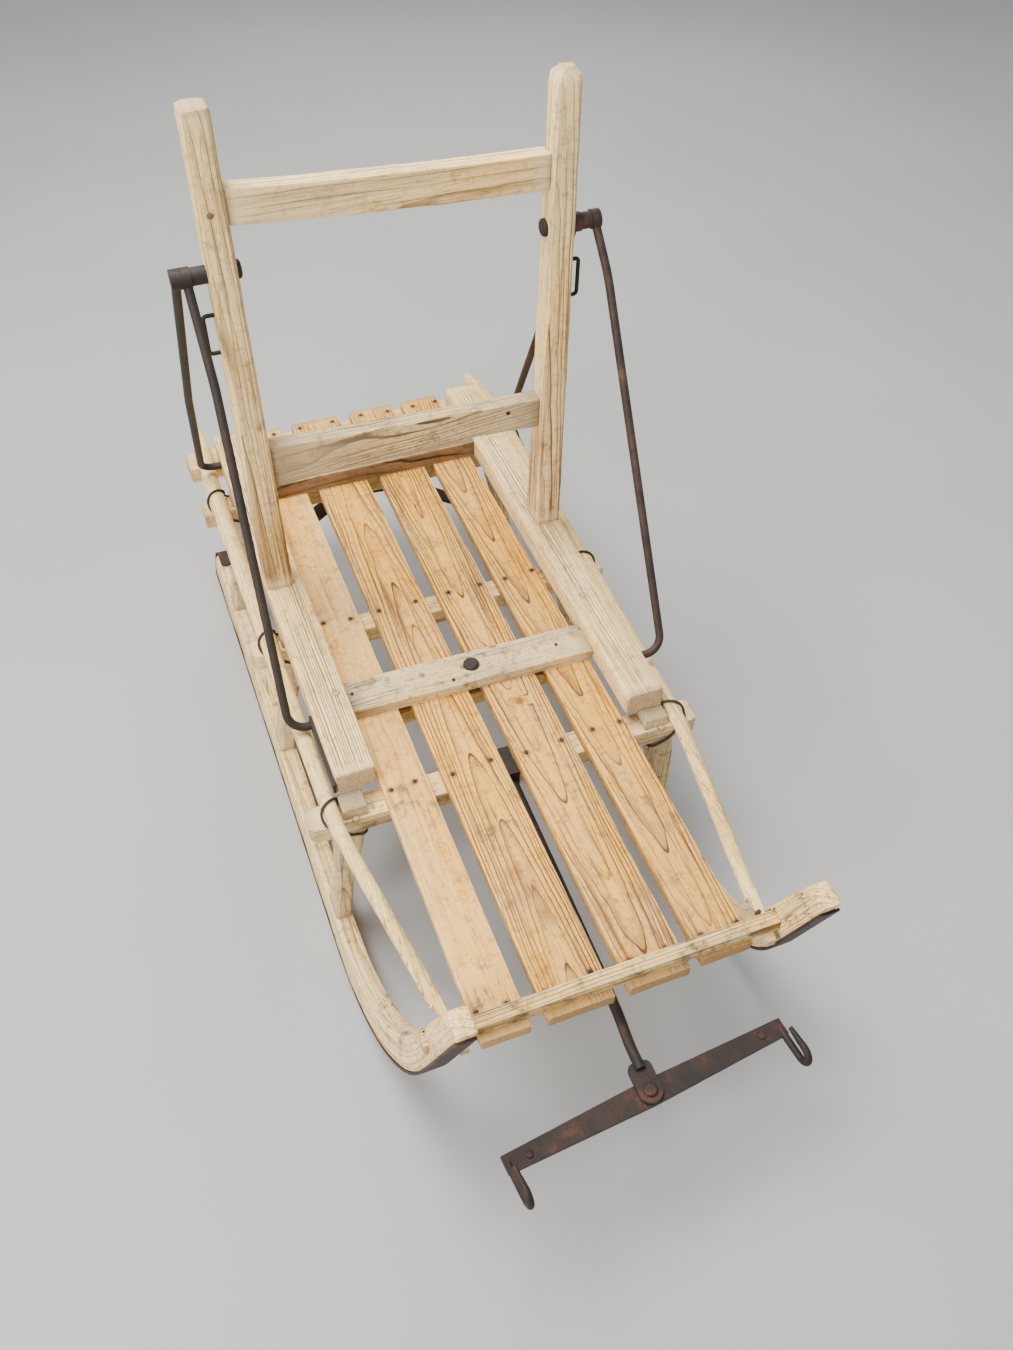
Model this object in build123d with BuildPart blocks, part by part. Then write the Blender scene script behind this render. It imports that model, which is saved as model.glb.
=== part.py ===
# Old wooden sled: two upturned runners on iron soles, six uprights, four bolsters, a slatted deck,
# a tall loading frame braced by iron rods, and a swingletree on an iron drawbar.
# Millimetres. X to the right, Y to the rear, Z up. The ground is at zero and the noses are at low Y.

import os
from math import cos, radians, sin, sqrt, tan

from build123d import *

os.makedirs("parts", exist_ok=True)

# Clearances
FIT = 0.15
RUN_GAP = 0.5
PIN_GAP = 0.3

# Levels
SOLE_T = 4.0
RUNNER_TOP_Z = 55.0
BOLSTER_Z = 296.0
BOLSTER_T = 34.0
SLAT_T = 22.0
BEAM_H = 44.0
SLAT_Z = BOLSTER_Z + BOLSTER_T
DECK_Z = SLAT_Z + SLAT_T
BEAM_TOP_Z = DECK_Z + BEAM_H

# Deck slats, out from the centre gap. The width sets the width of the whole sled.
CENTRE_GAP = 24.0
SLAT_1_W = 75.0
SLAT_2_W = 101.0
SLAT_3_W = 95.0
SLAT_4_W = 82.0
LEFT_GAP = 25.0
RIGHT_GAP = 21.0
SLAT_TAPER = 4.0
slat_2_left = -CENTRE_GAP / 2 - SLAT_2_W
slat_1_left = slat_2_left - LEFT_GAP - SLAT_1_W
slat_3_right = CENTRE_GAP / 2 + SLAT_3_W
slat_4_right = slat_3_right + RIGHT_GAP + SLAT_4_W

# Stations across, each outside the last
DECK_SIDE = 3.0
BEAM_W = 66.0
BEAM_ROUND = 11.0
BEAM_ARRIS = 3.0
TENON_IN = 26.5
TENON_W = 41.0
beam_in_x = max(-slat_1_left, slat_4_right) + DECK_SIDE
beam_out_x = beam_in_x + BEAM_W
tenon_x = beam_in_x + TENON_IN + TENON_W / 2

# Runners
LEAN = 0.14
LEAN_START = 11.56
RUNNER_W = 34.0
RUNNER_TAIL = 40.0
CURVE_R = 438.0
CURVE_DEG = 70.6
KINK_Z = 300.0
NOSE_TOP_Z = 540.0
NOSE_TOP_IN = 21.0
NOSE_TOP_W = 30.0
NOSE_TOP_D = 41.0
SOLE_TOP_DROP = 25.0
HEEL_TAB_W = 24.0
HEEL_TAB_L = 37.0
REACH = 1000.0
runner_x = tenon_x + LEAN_START + LEAN * BOLSTER_Z

# Bolsters and their stations
FRONT_Y = -221.0
MIDDLE_STEP = 396.0
REAR_STEP = 409.0
TAIL_STEP = 152.0
FRONT_W = 47.0
MIDDLE_W = 41.0
REAR_W = 42.0
TAIL_W = 55.0
BOLSTER_OVER = 26.0
END_ROUND = 5.0
middle_y = FRONT_Y + MIDDLE_STEP
rear_y = middle_y + REAR_STEP
tail_y = rear_y + TAIL_STEP
bolster_half = runner_x + BOLSTER_OVER
# Name, front face, depth, left end cut, right end cut
BOLSTERS = [
    ("bolster_front", FRONT_Y, FRONT_W, 9.0, 14.0),
    ("bolster_middle", middle_y, MIDDLE_W, 12.0, 5.0),
    ("bolster_rear", rear_y, REAR_W, 3.0, 5.0),
    ("bolster_tail", tail_y, TAIL_W, 4.0, 4.0),
]
# Place, front face, depth
FRAMES = [("front", FRONT_Y, FRONT_W), ("middle", middle_y, MIDDLE_W), ("rear", rear_y, REAR_W)]

# Uprights
UPRIGHT_FACET = 4.0
FOOT_W = 29.0
FOOT_D = 56.0
WAIST_W = 27.0
WAIST_D = 33.0
WAIST_SET = 4.0
WAIST_Z = 155.0
HEEL_Z = 85.0
HEEL_D = 46.0
HEEL_SET = 2.0
SWELL_DROP = 51.0
SWELL_W = 42.0
HEAD_W = 46.0
HEAD_D = 40.0
TENON_WALL_FRONT = 6.0
TENON_WALL_BACK = 4.0
TENON_ARRIS = 2.5
# Height, width, set-back of the front face, depth
UPRIGHT_ROWS = [
    (RUNNER_TOP_Z, FOOT_W, 0.0, FOOT_D),
    (HEEL_Z, WAIST_W, HEEL_SET, HEEL_D),
    (WAIST_Z, WAIST_W, WAIST_SET, WAIST_D),
    (BOLSTER_Z - SWELL_DROP, SWELL_W, 0.0, HEAD_D),
    (BOLSTER_Z, HEAD_W, 0.0, HEAD_D),
]

# Batten, cross board and the bolt that clamps them
BOARD_Y = -12.0
BOARD_W = 68.0
BOARD_T = 20.0
BOARD_SKEW = 4.5
BATTEN_HALF = 190.0
BATTEN_SET = -6.0
BATTEN_W = 40.0
BATTEN_H = 28.0
BOLT_X = 5.0
BOLT_SET = 3.0
BOLT_R = 4.5
BOLT_HEAD_R = 14.0
BOLT_HEAD_H = 7.0
BOLT_NUT_R = 9.0
BOLT_NUT_H = 8.0
BOLT_TAIL = 4.0
HEAD_FLAT = 2.0
bolt_y = BOARD_Y + BOLT_SET

# Front crossbar
CROSSBAR_SET = 33.0
CROSSBAR_W = 22.0
CROSSBAR_H = 24.0
CROSSBAR_OUT = 6.0

# Side poles
POLE_FLAT = 1.0
POLE_NECK_R = 11.0
POLE_TIP_L = 50.0
POLE_TIP_OUT = 113.0
POLE_SQUARE = 14.0
POLE_SQUARE_L = 79.0
POLE_FRONT_OUT = 24.0
POLE_NOSE_GAP = 11.0
LAP = 10.0
pole_tip_y = tail_y + POLE_TIP_OUT
# Place along the sled, gap to the tenons' outer line, radius
POLE_ROWS = [
    (pole_tip_y, 10.0, 9.0),
    (pole_tip_y - POLE_TIP_L, 7.0, 14.5),
    (rear_y + 56.0, 10.0, 16.5),
    (middle_y + 25.0, 7.5, 15.0),
    (FRONT_Y + 42.0, 4.0, 13.0),
    (FRONT_Y - 12.0, 2.5, 12.5),
    (FRONT_Y - 66.0, -4.0, 12.0),
]

# Beams and the rail between them
BEAM_LEFT_SET = 40.0
BEAM_RIGHT_SET = 31.0
BEAM_TAIL = 6.0
RAIL_W = 40.0
RAIL_H = 36.0
RAIL_SET = 28.0
beam_rear_y = tail_y + BEAM_TAIL

# Loading frame
POST_SET = 114.0
POST_FACET = 5.0
POST_FOOT_W = 48.0
POST_FOOT_D = 54.0
POST_HEAD_OUT = 4.0
POST_HEAD_W = 41.0
POST_HEAD_D = 38.0
POST_LEFT_Z = 1236.0
POST_RIGHT_Z = 1217.0
CAP_KNEE = 0.6
CAP_KNEE_IN = 0.2
UPPER_T = 28.0
LOWER_T = 30.0
post_y = middle_y + POST_SET
post_foot_x = beam_out_x - POST_FOOT_W / 2
post_head_x = post_foot_x + POST_HEAD_OUT
# Rails: bottom and top at the left post, at mid-span and at the right post
UPPER_RAIL = [(1071.0, 1124.0), (1054.0, 1108.0), (1044.0, 1100.0)]
LOWER_RAIL = [(611.0, 691.0), (623.0, 680.0), (615.0, 673.0)]

# Brace pins, rods and staples
PIN_LEFT_Z = 1000.0
PIN_RIGHT_Z = 979.0
PIN_R = 6.0
PIN_HEAD_R = 14.0
PIN_HEAD_H = 7.0
SLEEVE_R = 13.0
SLEEVE_LEFT_L = 22.0
SLEEVE_RIGHT_L = 18.0
ROD_R = 7.0
ROD_BEND = 30.0
ROD_BOW_R = 400.0
EYE_R = 15.0
EYE_W = 14.5
STRAP_REAR = 12.0
STRAP_T = 5.0
STRAP_H = 20.0
STAPLE_R = 3.3
STAPLE_OUT = 17.0
STAPLE_BEND = 6.0
STAPLE_LEFT_DROP = 65.0
STAPLE_RIGHT_DROP = 62.0
STAPLE_H = 63.0
# Left and right: side, post top, cap height, width and depth, pin height, sleeve, staple drop
POSTS = [
    ("left", -1, POST_LEFT_Z, 8.0, 31.0, 28.0, PIN_LEFT_Z, SLEEVE_LEFT_L, STAPLE_LEFT_DROP),
    ("right", 1, POST_RIGHT_Z, 24.0, 22.0, 20.0, PIN_RIGHT_Z, SLEEVE_RIGHT_L, STAPLE_RIGHT_DROP),
]
# Rods: seat on the pin (-1 between post and sleeve), foot out from the beam, along from the post
# and up from the deck, then how far down the bend lies, as a share, and how far it is out and along
# from the straight line
RODS = {
    "left": [(0, 40.0, -331.0, 17.0, 0.22, -6.0, 0.0), (1, 39.0, 382.0, 24.0, 0.55, 6.0, 0.0)],
    "right": [(0, 43.0, -385.0, 27.0, 0.12, 8.0, 0.0), (-1, 41.0, 341.0, 24.0, 0.5, 2.0, 0.0)],
}

# Arched brace under the rear bolster
ARCH_R = 186.0
ARCH_T = 6.0
ARCH_W = 40.0
ARCH_DEG = 34.0
ARCH_TAB = 56.0

# Drawbar and swingletree
RIVET_SET = 130.74
RIVET_R = 6.0
RIVET_HEAD_R = 10.0
RIVET_HEAD_H = 5.0
BAR_Z = 250.0
BAR_T = 8.0
BAR_HALF = 228.0
BAR_MID_W = 37.0
BAR_END_W = 26.0
BAR_YAW = 5.5
HOOK_R = 5.5
HOOK_TIP_R = 3.5
HOOK_INSET = 6.0
HOOK_REACH = 48.5
HOOK_RISE = 16.0
HOOK_BACK = 16.0
DRAW_R = 8.0
DRAW_STRAP_W = 22.0
DRAW_STRAP_T = 5.0
DRAW_START_UP = 14.0
DRAW_BEND = 60.0
EYE_PLATE_T = 7.0
EYE_PLATE_R = 18.0
EYE_PLATE_L = 44.0
EYE_SHOULDER = 10.0
# Rod: behind the rivet, up from the eye
DRAW_LINE = [(342.0, 37.0), (182.0, 27.0), (113.0, 17.0), (68.0, 1.0), (32.0, 0.0)]


# Sides of the leaning slab that a runner and its sole are trimmed to
def lean_x(z):
    return runner_x - LEAN * z


SLAB_ROWS = [
    (-REACH, lean_x(-REACH), RUNNER_W),
    (KINK_Z, lean_x(KINK_Z), RUNNER_W),
    (NOSE_TOP_Z, lean_x(KINK_Z) - NOSE_TOP_IN, NOSE_TOP_W),
    (NOSE_TOP_Z + REACH, lean_x(KINK_Z) - NOSE_TOP_IN, NOSE_TOP_W),
]


def nose_face(z, out):
    share = (z - KINK_Z) / (NOSE_TOP_Z - KINK_Z)
    middle = lean_x(KINK_Z) - share * NOSE_TOP_IN
    return middle + out * (RUNNER_W + share * (NOSE_TOP_W - RUNNER_W)) / 2


# Side view of the nose: the curve starts just behind the front uprights
curve_y = FRONT_Y - 1.0
runner_rear_y = tail_y + RUNNER_TAIL
sole_top_z = NOSE_TOP_Z - SOLE_TOP_DROP
heel_top_z = RUNNER_TOP_Z + SOLE_T


def nose_front(radius, z):
    turn = radians(CURVE_DEG)
    start_y = curve_y - radius * sin(turn)
    start_z = CURVE_R - radius * cos(turn)
    return start_y - (z - start_z) / tan(turn)


crossbar_z = DECK_Z + CROSSBAR_H / 2
crossbar_y = nose_front(CURVE_R, crossbar_z) + CROSSBAR_SET
crossbar_half = nose_face(crossbar_z, 1) + CROSSBAR_OUT
nose_top_y = nose_front(CURVE_R - SOLE_T, NOSE_TOP_Z)
rivet_y = crossbar_y - RIVET_SET


def post_mid(z, top_z):
    share = (z - BEAM_TOP_Z) / (top_z - BEAM_TOP_Z)
    return post_foot_x + share * POST_HEAD_OUT


def post_half(z, top_z):
    share = (z - BEAM_TOP_Z) / (top_z - BEAM_TOP_Z)
    return (POST_FOOT_W + share * (POST_HEAD_W - POST_FOOT_W)) / 2


def post_depth(z, top_z):
    share = (z - BEAM_TOP_Z) / (top_z - BEAM_TOP_Z)
    return POST_FOOT_D + share * (POST_HEAD_D - POST_FOOT_D)


def post_inner(z, top_z):
    return post_mid(z, top_z) - post_half(z, top_z)


def post_outer(z, top_z):
    return post_mid(z, top_z) + post_half(z, top_z)


def save(piece, name):
    piece.part.label = name
    export_step(piece.part, "parts/" + name + ".step")


# Runners and their iron soles
for label, side in (("left", -1), ("right", 1)):
    outer = [(side * (x + w / 2), z) for z, x, w in SLAB_ROWS]
    inner = [(side * (x - w / 2), z) for z, x, w in reversed(SLAB_ROWS)]
    with BuildPart() as runner:
        with BuildSketch(Plane.YZ):
            with BuildLine():
                bottom = Line((runner_rear_y, SOLE_T), (curve_y, SOLE_T))
                under = CenterArc((curve_y, CURVE_R), CURVE_R - SOLE_T, -90, -CURVE_DEG)
                front = Line(under @ 1, (nose_top_y, NOSE_TOP_Z))
                top = Line(front @ 1, (nose_top_y + NOSE_TOP_D, NOSE_TOP_Z))
                over = CenterArc((curve_y, CURVE_R), CURVE_R - RUNNER_TOP_Z, -90, -CURVE_DEG)
                back = Line(top @ 1, over @ 1)
                upper = Line(over @ 0, (runner_rear_y, RUNNER_TOP_Z))
                rear = Line(upper @ 1, bottom @ 0)
            make_face()
        extrude(amount=side * REACH)
        with BuildSketch(Plane.XZ):
            with BuildLine():
                Polyline(outer + inner, close=True)
            make_face()
        extrude(amount=REACH, both=True, mode=Mode.INTERSECT)
        with Locations((0, crossbar_y, crossbar_z)):
            Box(REACH, CROSSBAR_W + 2 * FIT, CROSSBAR_H + 2 * FIT, mode=Mode.SUBTRACT)
    save(runner, "runner_" + label)

    with BuildPart() as sole:
        with BuildSketch(Plane.YZ):
            with BuildLine():
                heel = Line((runner_rear_y + SOLE_T, heel_top_z), (runner_rear_y + SOLE_T, 0))
                tread = Line(heel @ 1, (curve_y, 0))
                under = CenterArc((curve_y, CURVE_R), CURVE_R, -90, -CURVE_DEG)
                front = Line(under @ 1, (nose_front(CURVE_R, sole_top_z), sole_top_z))
                tip = Line(front @ 1, (nose_front(CURVE_R - SOLE_T, sole_top_z), sole_top_z))
                over = CenterArc((curve_y, CURVE_R), CURVE_R - SOLE_T, -90, -CURVE_DEG)
                back = Line(tip @ 1, over @ 1)
                upper = Line(over @ 0, (runner_rear_y, SOLE_T))
                inside = Line(upper @ 1, (runner_rear_y, heel_top_z))
                close = Line(inside @ 1, heel @ 0)
            make_face()
        extrude(amount=side * REACH)
        with BuildSketch(Plane.XZ):
            with BuildLine():
                Polyline(outer + inner, close=True)
            make_face()
        extrude(amount=REACH, both=True, mode=Mode.INTERSECT)
        with BuildSketch(Plane.XY.offset(RUNNER_TOP_Z)):
            with Locations((side * lean_x(RUNNER_TOP_Z), runner_rear_y + SOLE_T - HEEL_TAB_L / 2)):
                Rectangle(HEEL_TAB_W, HEEL_TAB_L)
            with Locations((side * lean_x(RUNNER_TOP_Z), runner_rear_y + SOLE_T - HEEL_TAB_L)):
                Circle(HEEL_TAB_W / 2)
        extrude(amount=SOLE_T)
    save(sole, "runner_sole_" + label)

# Uprights with a through tenon
for place, front_y, depth in FRAMES:
    tenon_d = depth - TENON_WALL_FRONT - TENON_WALL_BACK
    tenon_y = front_y + TENON_WALL_FRONT + tenon_d / 2
    for label, side in (("left", -1), ("right", 1)):
        with BuildPart() as upright:
            for z, w, back_set, d in UPRIGHT_ROWS:
                with BuildSketch(Plane.XY.offset(z)) as row:
                    with Locations((side * lean_x(z), front_y + back_set + d / 2)):
                        Rectangle(w, d)
                    chamfer(row.vertices(), UPRIGHT_FACET)
            loft(ruled=True)
            with BuildSketch(Plane.XY.offset(BOLSTER_Z)):
                with Locations((side * tenon_x, tenon_y)):
                    Rectangle(TENON_W, tenon_d)
            extrude(amount=BOLSTER_T + SLAT_T)
            chamfer(upright.edges().group_by(Axis.Z)[-1], TENON_ARRIS)
        save(upright, "upright_" + place + "_" + label)

# Bolsters
for name, front_y, depth, cut_left, cut_right in BOLSTERS:
    with BuildPart() as bolster:
        with BuildSketch(Plane.XZ.offset(-front_y)):
            with Locations((0, BOLSTER_Z + BOLSTER_T / 2)):
                RectangleRounded(2 * bolster_half, BOLSTER_T, END_ROUND)
        extrude(amount=-depth)
        with BuildSketch(Plane.XY.offset(BOLSTER_Z)) as plan:
            with Locations((0, front_y + depth / 2)):
                Rectangle(2 * bolster_half, depth)
            chamfer(plan.vertices().sort_by(Axis.X)[:2], cut_left)
            fillet(plan.vertices().sort_by(Axis.X)[-2:], cut_right)
        extrude(amount=BOLSTER_T, mode=Mode.INTERSECT)
        if name != "bolster_tail":
            tenon_d = depth - TENON_WALL_FRONT - TENON_WALL_BACK
            tenon_y = front_y + TENON_WALL_FRONT + tenon_d / 2
            for side in (-1, 1):
                with Locations((side * tenon_x, tenon_y, SLAT_Z)):
                    Box(TENON_W + 2 * FIT, tenon_d + 2 * FIT, 3 * BOLSTER_T, mode=Mode.SUBTRACT)
    save(bolster, name)

# Batten under the deck
with BuildPart() as batten:
    with Locations((0, BOARD_Y + BATTEN_SET, SLAT_Z - BATTEN_H / 2)):
        Box(2 * BATTEN_HALF, BATTEN_W, BATTEN_H)
    with Locations((BOLT_X, bolt_y, SLAT_Z)):
        Cylinder(BOLT_R + FIT, 3 * BATTEN_H, mode=Mode.SUBTRACT)
save(batten, "under_batten")

# Deck slats: left edge, width, how much the left and right edges come in at the back, overhang
slat_rows = [
    (slat_1_left, SLAT_1_W, SLAT_TAPER, 0.0, 12.0),
    (slat_2_left, SLAT_2_W, 0.0, SLAT_TAPER / 2, 12.0),
    (CENTRE_GAP / 2, SLAT_3_W, SLAT_TAPER / 4, 0.0, 10.0),
    (slat_3_right + RIGHT_GAP, SLAT_4_W, 0.0, SLAT_TAPER, 5.0),
]
slat_rear_y = tail_y + TAIL_W - LAP / 2
for number, (left, width, left_in, right_in, overhang) in enumerate(slat_rows, start=1):
    slat_front_y = crossbar_y - CROSSBAR_W / 2 - overhang
    with BuildPart() as slat:
        with BuildSketch(Plane.XY.offset(SLAT_Z)):
            with BuildLine():
                Polyline(
                    (left, slat_front_y),
                    (left + width, slat_front_y),
                    (left + width - right_in, slat_rear_y),
                    (left + left_in, slat_rear_y),
                    close=True,
                )
            make_face()
        extrude(amount=SLAT_T)
    save(slat, "slat_" + str(number))

# Front crossbar
with BuildPart() as crossbar:
    with Locations((0, crossbar_y, crossbar_z)):
        Box(2 * crossbar_half, CROSSBAR_W, CROSSBAR_H)
save(crossbar, "front_crossbar")

# Side poles: tapered rounds that rest on a flat, squared in front and whittled at the rear tip
neck_z = SLAT_Z - POLE_FLAT + POLE_NECK_R
front_x = nose_face(neck_z, -1) - POLE_SQUARE / 2 - POLE_NOSE_GAP
front_y = crossbar_y - POLE_FRONT_OUT
square_y = front_y + POLE_SQUARE_L
last_y, last_gap, last_r = POLE_ROWS[-1]
last_x = tenon_x + TENON_W / 2 + last_gap + last_r
slope = (last_x - front_x) / (last_y - front_y)
square_x = front_x + slope * POLE_SQUARE_L
half = POLE_SQUARE / 2
for label, side in (("left", -1), ("right", 1)):
    with BuildPart() as pole:
        for y, gap, r in POLE_ROWS:
            with BuildSketch(Plane.XZ.offset(-y)):
                with Locations((side * (tenon_x + TENON_W / 2 + gap + r), SLAT_Z - POLE_FLAT + r)):
                    Circle(r)
        with BuildSketch(Plane.XZ.offset(-square_y)):
            with Locations((side * square_x, neck_z)):
                Circle(POLE_NECK_R)
        loft(ruled=True)
        with BuildSketch(Plane.XY.offset(DECK_Z)):
            with BuildLine():
                Polyline(
                    (side * (front_x - half), front_y),
                    (side * (front_x + half), front_y),
                    (side * (square_x + slope * LAP + half), square_y + LAP),
                    (side * (square_x + slope * LAP - half), square_y + LAP),
                    close=True,
                )
            make_face()
        extrude(amount=-POLE_SQUARE)
        split(bisect_by=Plane.XY.offset(SLAT_Z), keep=Keep.TOP)
    save(pole, "side_pole_" + label)

# Beams on the deck, each with one worn inner arris
for label, side, front_set, arris in (
    ("left", -1, BEAM_LEFT_SET, BEAM_ARRIS),
    ("right", 1, BEAM_RIGHT_SET, BEAM_ROUND),
):
    with BuildPart() as beam:
        with BuildSketch(Plane.XY.offset(DECK_Z)):
            with Locations((side * (beam_in_x + beam_out_x) / 2, (FRONT_Y + front_set + beam_rear_y) / 2)):
                Rectangle(BEAM_W, beam_rear_y - FRONT_Y - front_set)
        extrude(amount=BEAM_H)
        upper_edges = beam.edges().filter_by(Axis.Y).group_by(Axis.Z)[-1].sort_by(Axis.X)
        fillet(upper_edges[-1] if side < 0 else upper_edges[0], arris)
    save(beam, "beam_" + label)

# Cross board over the deck, a little askew
with BuildPart() as board:
    with BuildSketch(Plane.XY.offset(DECK_Z)):
        with BuildLine():
            Polyline(
                (-beam_in_x, BOARD_Y - BOARD_W / 2 + BOARD_SKEW),
                (beam_in_x, BOARD_Y - BOARD_W / 2 - BOARD_SKEW),
                (beam_in_x, BOARD_Y + BOARD_W / 2 - BOARD_SKEW),
                (-beam_in_x, BOARD_Y + BOARD_W / 2 + BOARD_SKEW),
                close=True,
            )
        make_face()
    extrude(amount=BOARD_T)
    with Locations((BOLT_X, bolt_y, DECK_Z)):
        Cylinder(BOLT_R + FIT, 3 * BOARD_T, mode=Mode.SUBTRACT)
save(board, "cross_board")

# Bolt through the board, the centre gap and the batten
with BuildPart() as bolt:
    with BuildSketch(Plane.XY.offset(DECK_Z + BOARD_T)):
        with Locations((BOLT_X, bolt_y)):
            Circle(BOLT_HEAD_R)
    extrude(amount=BOLT_HEAD_H)
    fillet(bolt.edges().group_by(Axis.Z)[-1], BOLT_HEAD_H - HEAD_FLAT)
    with BuildSketch(Plane.XY.offset(DECK_Z + BOARD_T)):
        with Locations((BOLT_X, bolt_y)):
            Circle(BOLT_R)
    extrude(amount=-(BOARD_T + SLAT_T + BATTEN_H + BOLT_NUT_H + BOLT_TAIL))
    with BuildSketch(Plane.XY.offset(SLAT_Z - BATTEN_H)):
        with Locations((BOLT_X, bolt_y)):
            RegularPolygon(BOLT_NUT_R, 6)
    extrude(amount=-BOLT_NUT_H)
save(bolt, "clamp_bolt")

# Cross rail near the rear of the beams
with BuildPart() as cross_rail:
    with Locations((0, rear_y - RAIL_SET + RAIL_W / 2, DECK_Z + RAIL_H / 2)):
        Box(2 * beam_in_x, RAIL_W, RAIL_H)
save(cross_rail, "rear_cross_rail")

# Posts, pins, rods and staples
for label, side, top_z, cap_h, cap_w, cap_d, pin_z, sleeve_l, staple_drop in POSTS:
    shoulder_z = top_z - cap_h
    shoulder_x = post_mid(shoulder_z, top_z)
    shoulder_w = 2 * post_half(shoulder_z, top_z)
    shoulder_d = post_depth(shoulder_z, top_z)
    knee_w = shoulder_w - CAP_KNEE_IN * (shoulder_w - cap_w)
    knee_d = shoulder_d - CAP_KNEE_IN * (shoulder_d - cap_d)
    # Height, middle, width, depth
    rows = [
        (BEAM_TOP_Z, post_foot_x, POST_FOOT_W, POST_FOOT_D),
        (shoulder_z, shoulder_x, shoulder_w, shoulder_d),
        (shoulder_z + CAP_KNEE * cap_h, shoulder_x, knee_w, knee_d),
        (top_z, post_head_x, cap_w, cap_d),
    ]
    with BuildPart() as post:
        for z, x, w, d in rows:
            with BuildSketch(Plane.XY.offset(z)) as row:
                with Locations((side * x, post_y)):
                    Rectangle(w, d)
                chamfer(row.vertices(), POST_FACET)
        loft(ruled=True)
        with Locations((side * post_head_x, post_y, pin_z)):
            Cylinder(PIN_R + FIT, 3 * POST_FOOT_W, rotation=(0, 90, 0), mode=Mode.SUBTRACT)
    save(post, "post_" + label)

    outer_x = post_outer(pin_z, top_z)
    inner_x = post_inner(pin_z - PIN_HEAD_R, top_z)
    eye_step = EYE_W + 2 * FIT
    inner_eyes = sum(rod[0] < 0 for rod in RODS[label])
    last_seat = max(rod[0] for rod in RODS[label])
    sleeve_x = outer_x + FIT + inner_eyes * (EYE_W + FIT)
    sleeve_end = sleeve_x + sleeve_l
    pin_end = sleeve_end + FIT + last_seat * eye_step + EYE_W
    with BuildPart() as pin:
        with BuildSketch(Plane.YZ.offset(side * inner_x)):
            with Locations((post_y, pin_z)):
                Circle(PIN_HEAD_R)
        extrude(amount=-side * PIN_HEAD_H)
        head_edges = pin.edges().group_by(Axis.X)
        fillet(head_edges[0] if side > 0 else head_edges[-1], PIN_HEAD_H - HEAD_FLAT)
        with BuildSketch(Plane.YZ.offset(side * inner_x)):
            with Locations((post_y, pin_z)):
                Circle(PIN_R)
        extrude(amount=side * (pin_end - inner_x))
        with BuildSketch(Plane.YZ.offset(side * sleeve_x)):
            with Locations((post_y, pin_z)):
                Circle(SLEEVE_R)
        extrude(amount=side * sleeve_l)
    save(pin, "brace_pin_" + label)

    with BuildPart() as brace:
        for seat, foot_out, foot_along, foot_up, share, bow_out, bow_along in RODS[label]:
            eye_in_x = outer_x + FIT if seat < 0 else sleeve_end + FIT + seat * eye_step
            eye_x = eye_in_x + EYE_W / 2
            foot_x = beam_out_x + foot_out
            foot_y = post_y + foot_along
            foot_z = DECK_Z + foot_up
            bow_x = eye_x + share * (foot_x - eye_x) + bow_out
            bow_y = post_y + share * foot_along + bow_along
            bow_z = pin_z + share * (foot_z - pin_z)
            with BuildLine():
                path = FilletPolyline(
                    (side * eye_x, post_y, pin_z),
                    (side * bow_x, bow_y, bow_z),
                    (side * foot_x, foot_y, foot_z),
                    (side * beam_out_x, foot_y, foot_z),
                    radius=[ROD_BOW_R, ROD_BEND],
                )
            with BuildSketch(Plane(origin=path @ 0, z_dir=path % 0)):
                Circle(ROD_R)
            sweep(path=path)
            with BuildSketch(Plane.YZ.offset(side * eye_in_x)):
                with Locations((post_y, pin_z)):
                    Circle(EYE_R)
            extrude(amount=side * EYE_W)
        if side < 0:
            strap_along, strap_up = RODS[label][0][2:4]
            strap_front_y = FRONT_Y + BEAM_LEFT_SET
            strap_l = post_y + strap_along + STRAP_REAR - strap_front_y
            with Locations((-beam_out_x, strap_front_y, DECK_Z + strap_up)):
                Box(STRAP_T, strap_l, STRAP_H, align=(Align.MAX, Align.MIN, Align.CENTER))
        with Locations((side * pin_end, post_y, pin_z)):
            Cylinder(PIN_R + FIT, 8 * EYE_W, rotation=(0, 90, 0), mode=Mode.SUBTRACT)
        with BuildSketch(Plane.YZ.offset(side * (sleeve_x - FIT))):
            with Locations((post_y, pin_z)):
                Circle(SLEEVE_R + FIT)
        extrude(amount=side * (sleeve_l + 2 * FIT), mode=Mode.SUBTRACT)
    save(brace, "brace_" + label)

    high_z = pin_z - staple_drop
    low_z = high_z - STAPLE_H
    with BuildPart() as staple:
        with BuildLine():
            path = FilletPolyline(
                (side * (post_outer(low_z, top_z) + FIT), post_y, low_z),
                (side * (post_outer(low_z, top_z) + STAPLE_OUT), post_y, low_z),
                (side * (post_outer(low_z, top_z) + STAPLE_OUT), post_y, high_z),
                (side * (post_outer(high_z, top_z) + FIT), post_y, high_z),
                radius=STAPLE_BEND,
            )
        with BuildSketch(Plane(origin=path @ 0, z_dir=path % 0)):
            Circle(STAPLE_R)
        sweep(path=path)
    save(staple, "staple_" + label)

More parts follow.
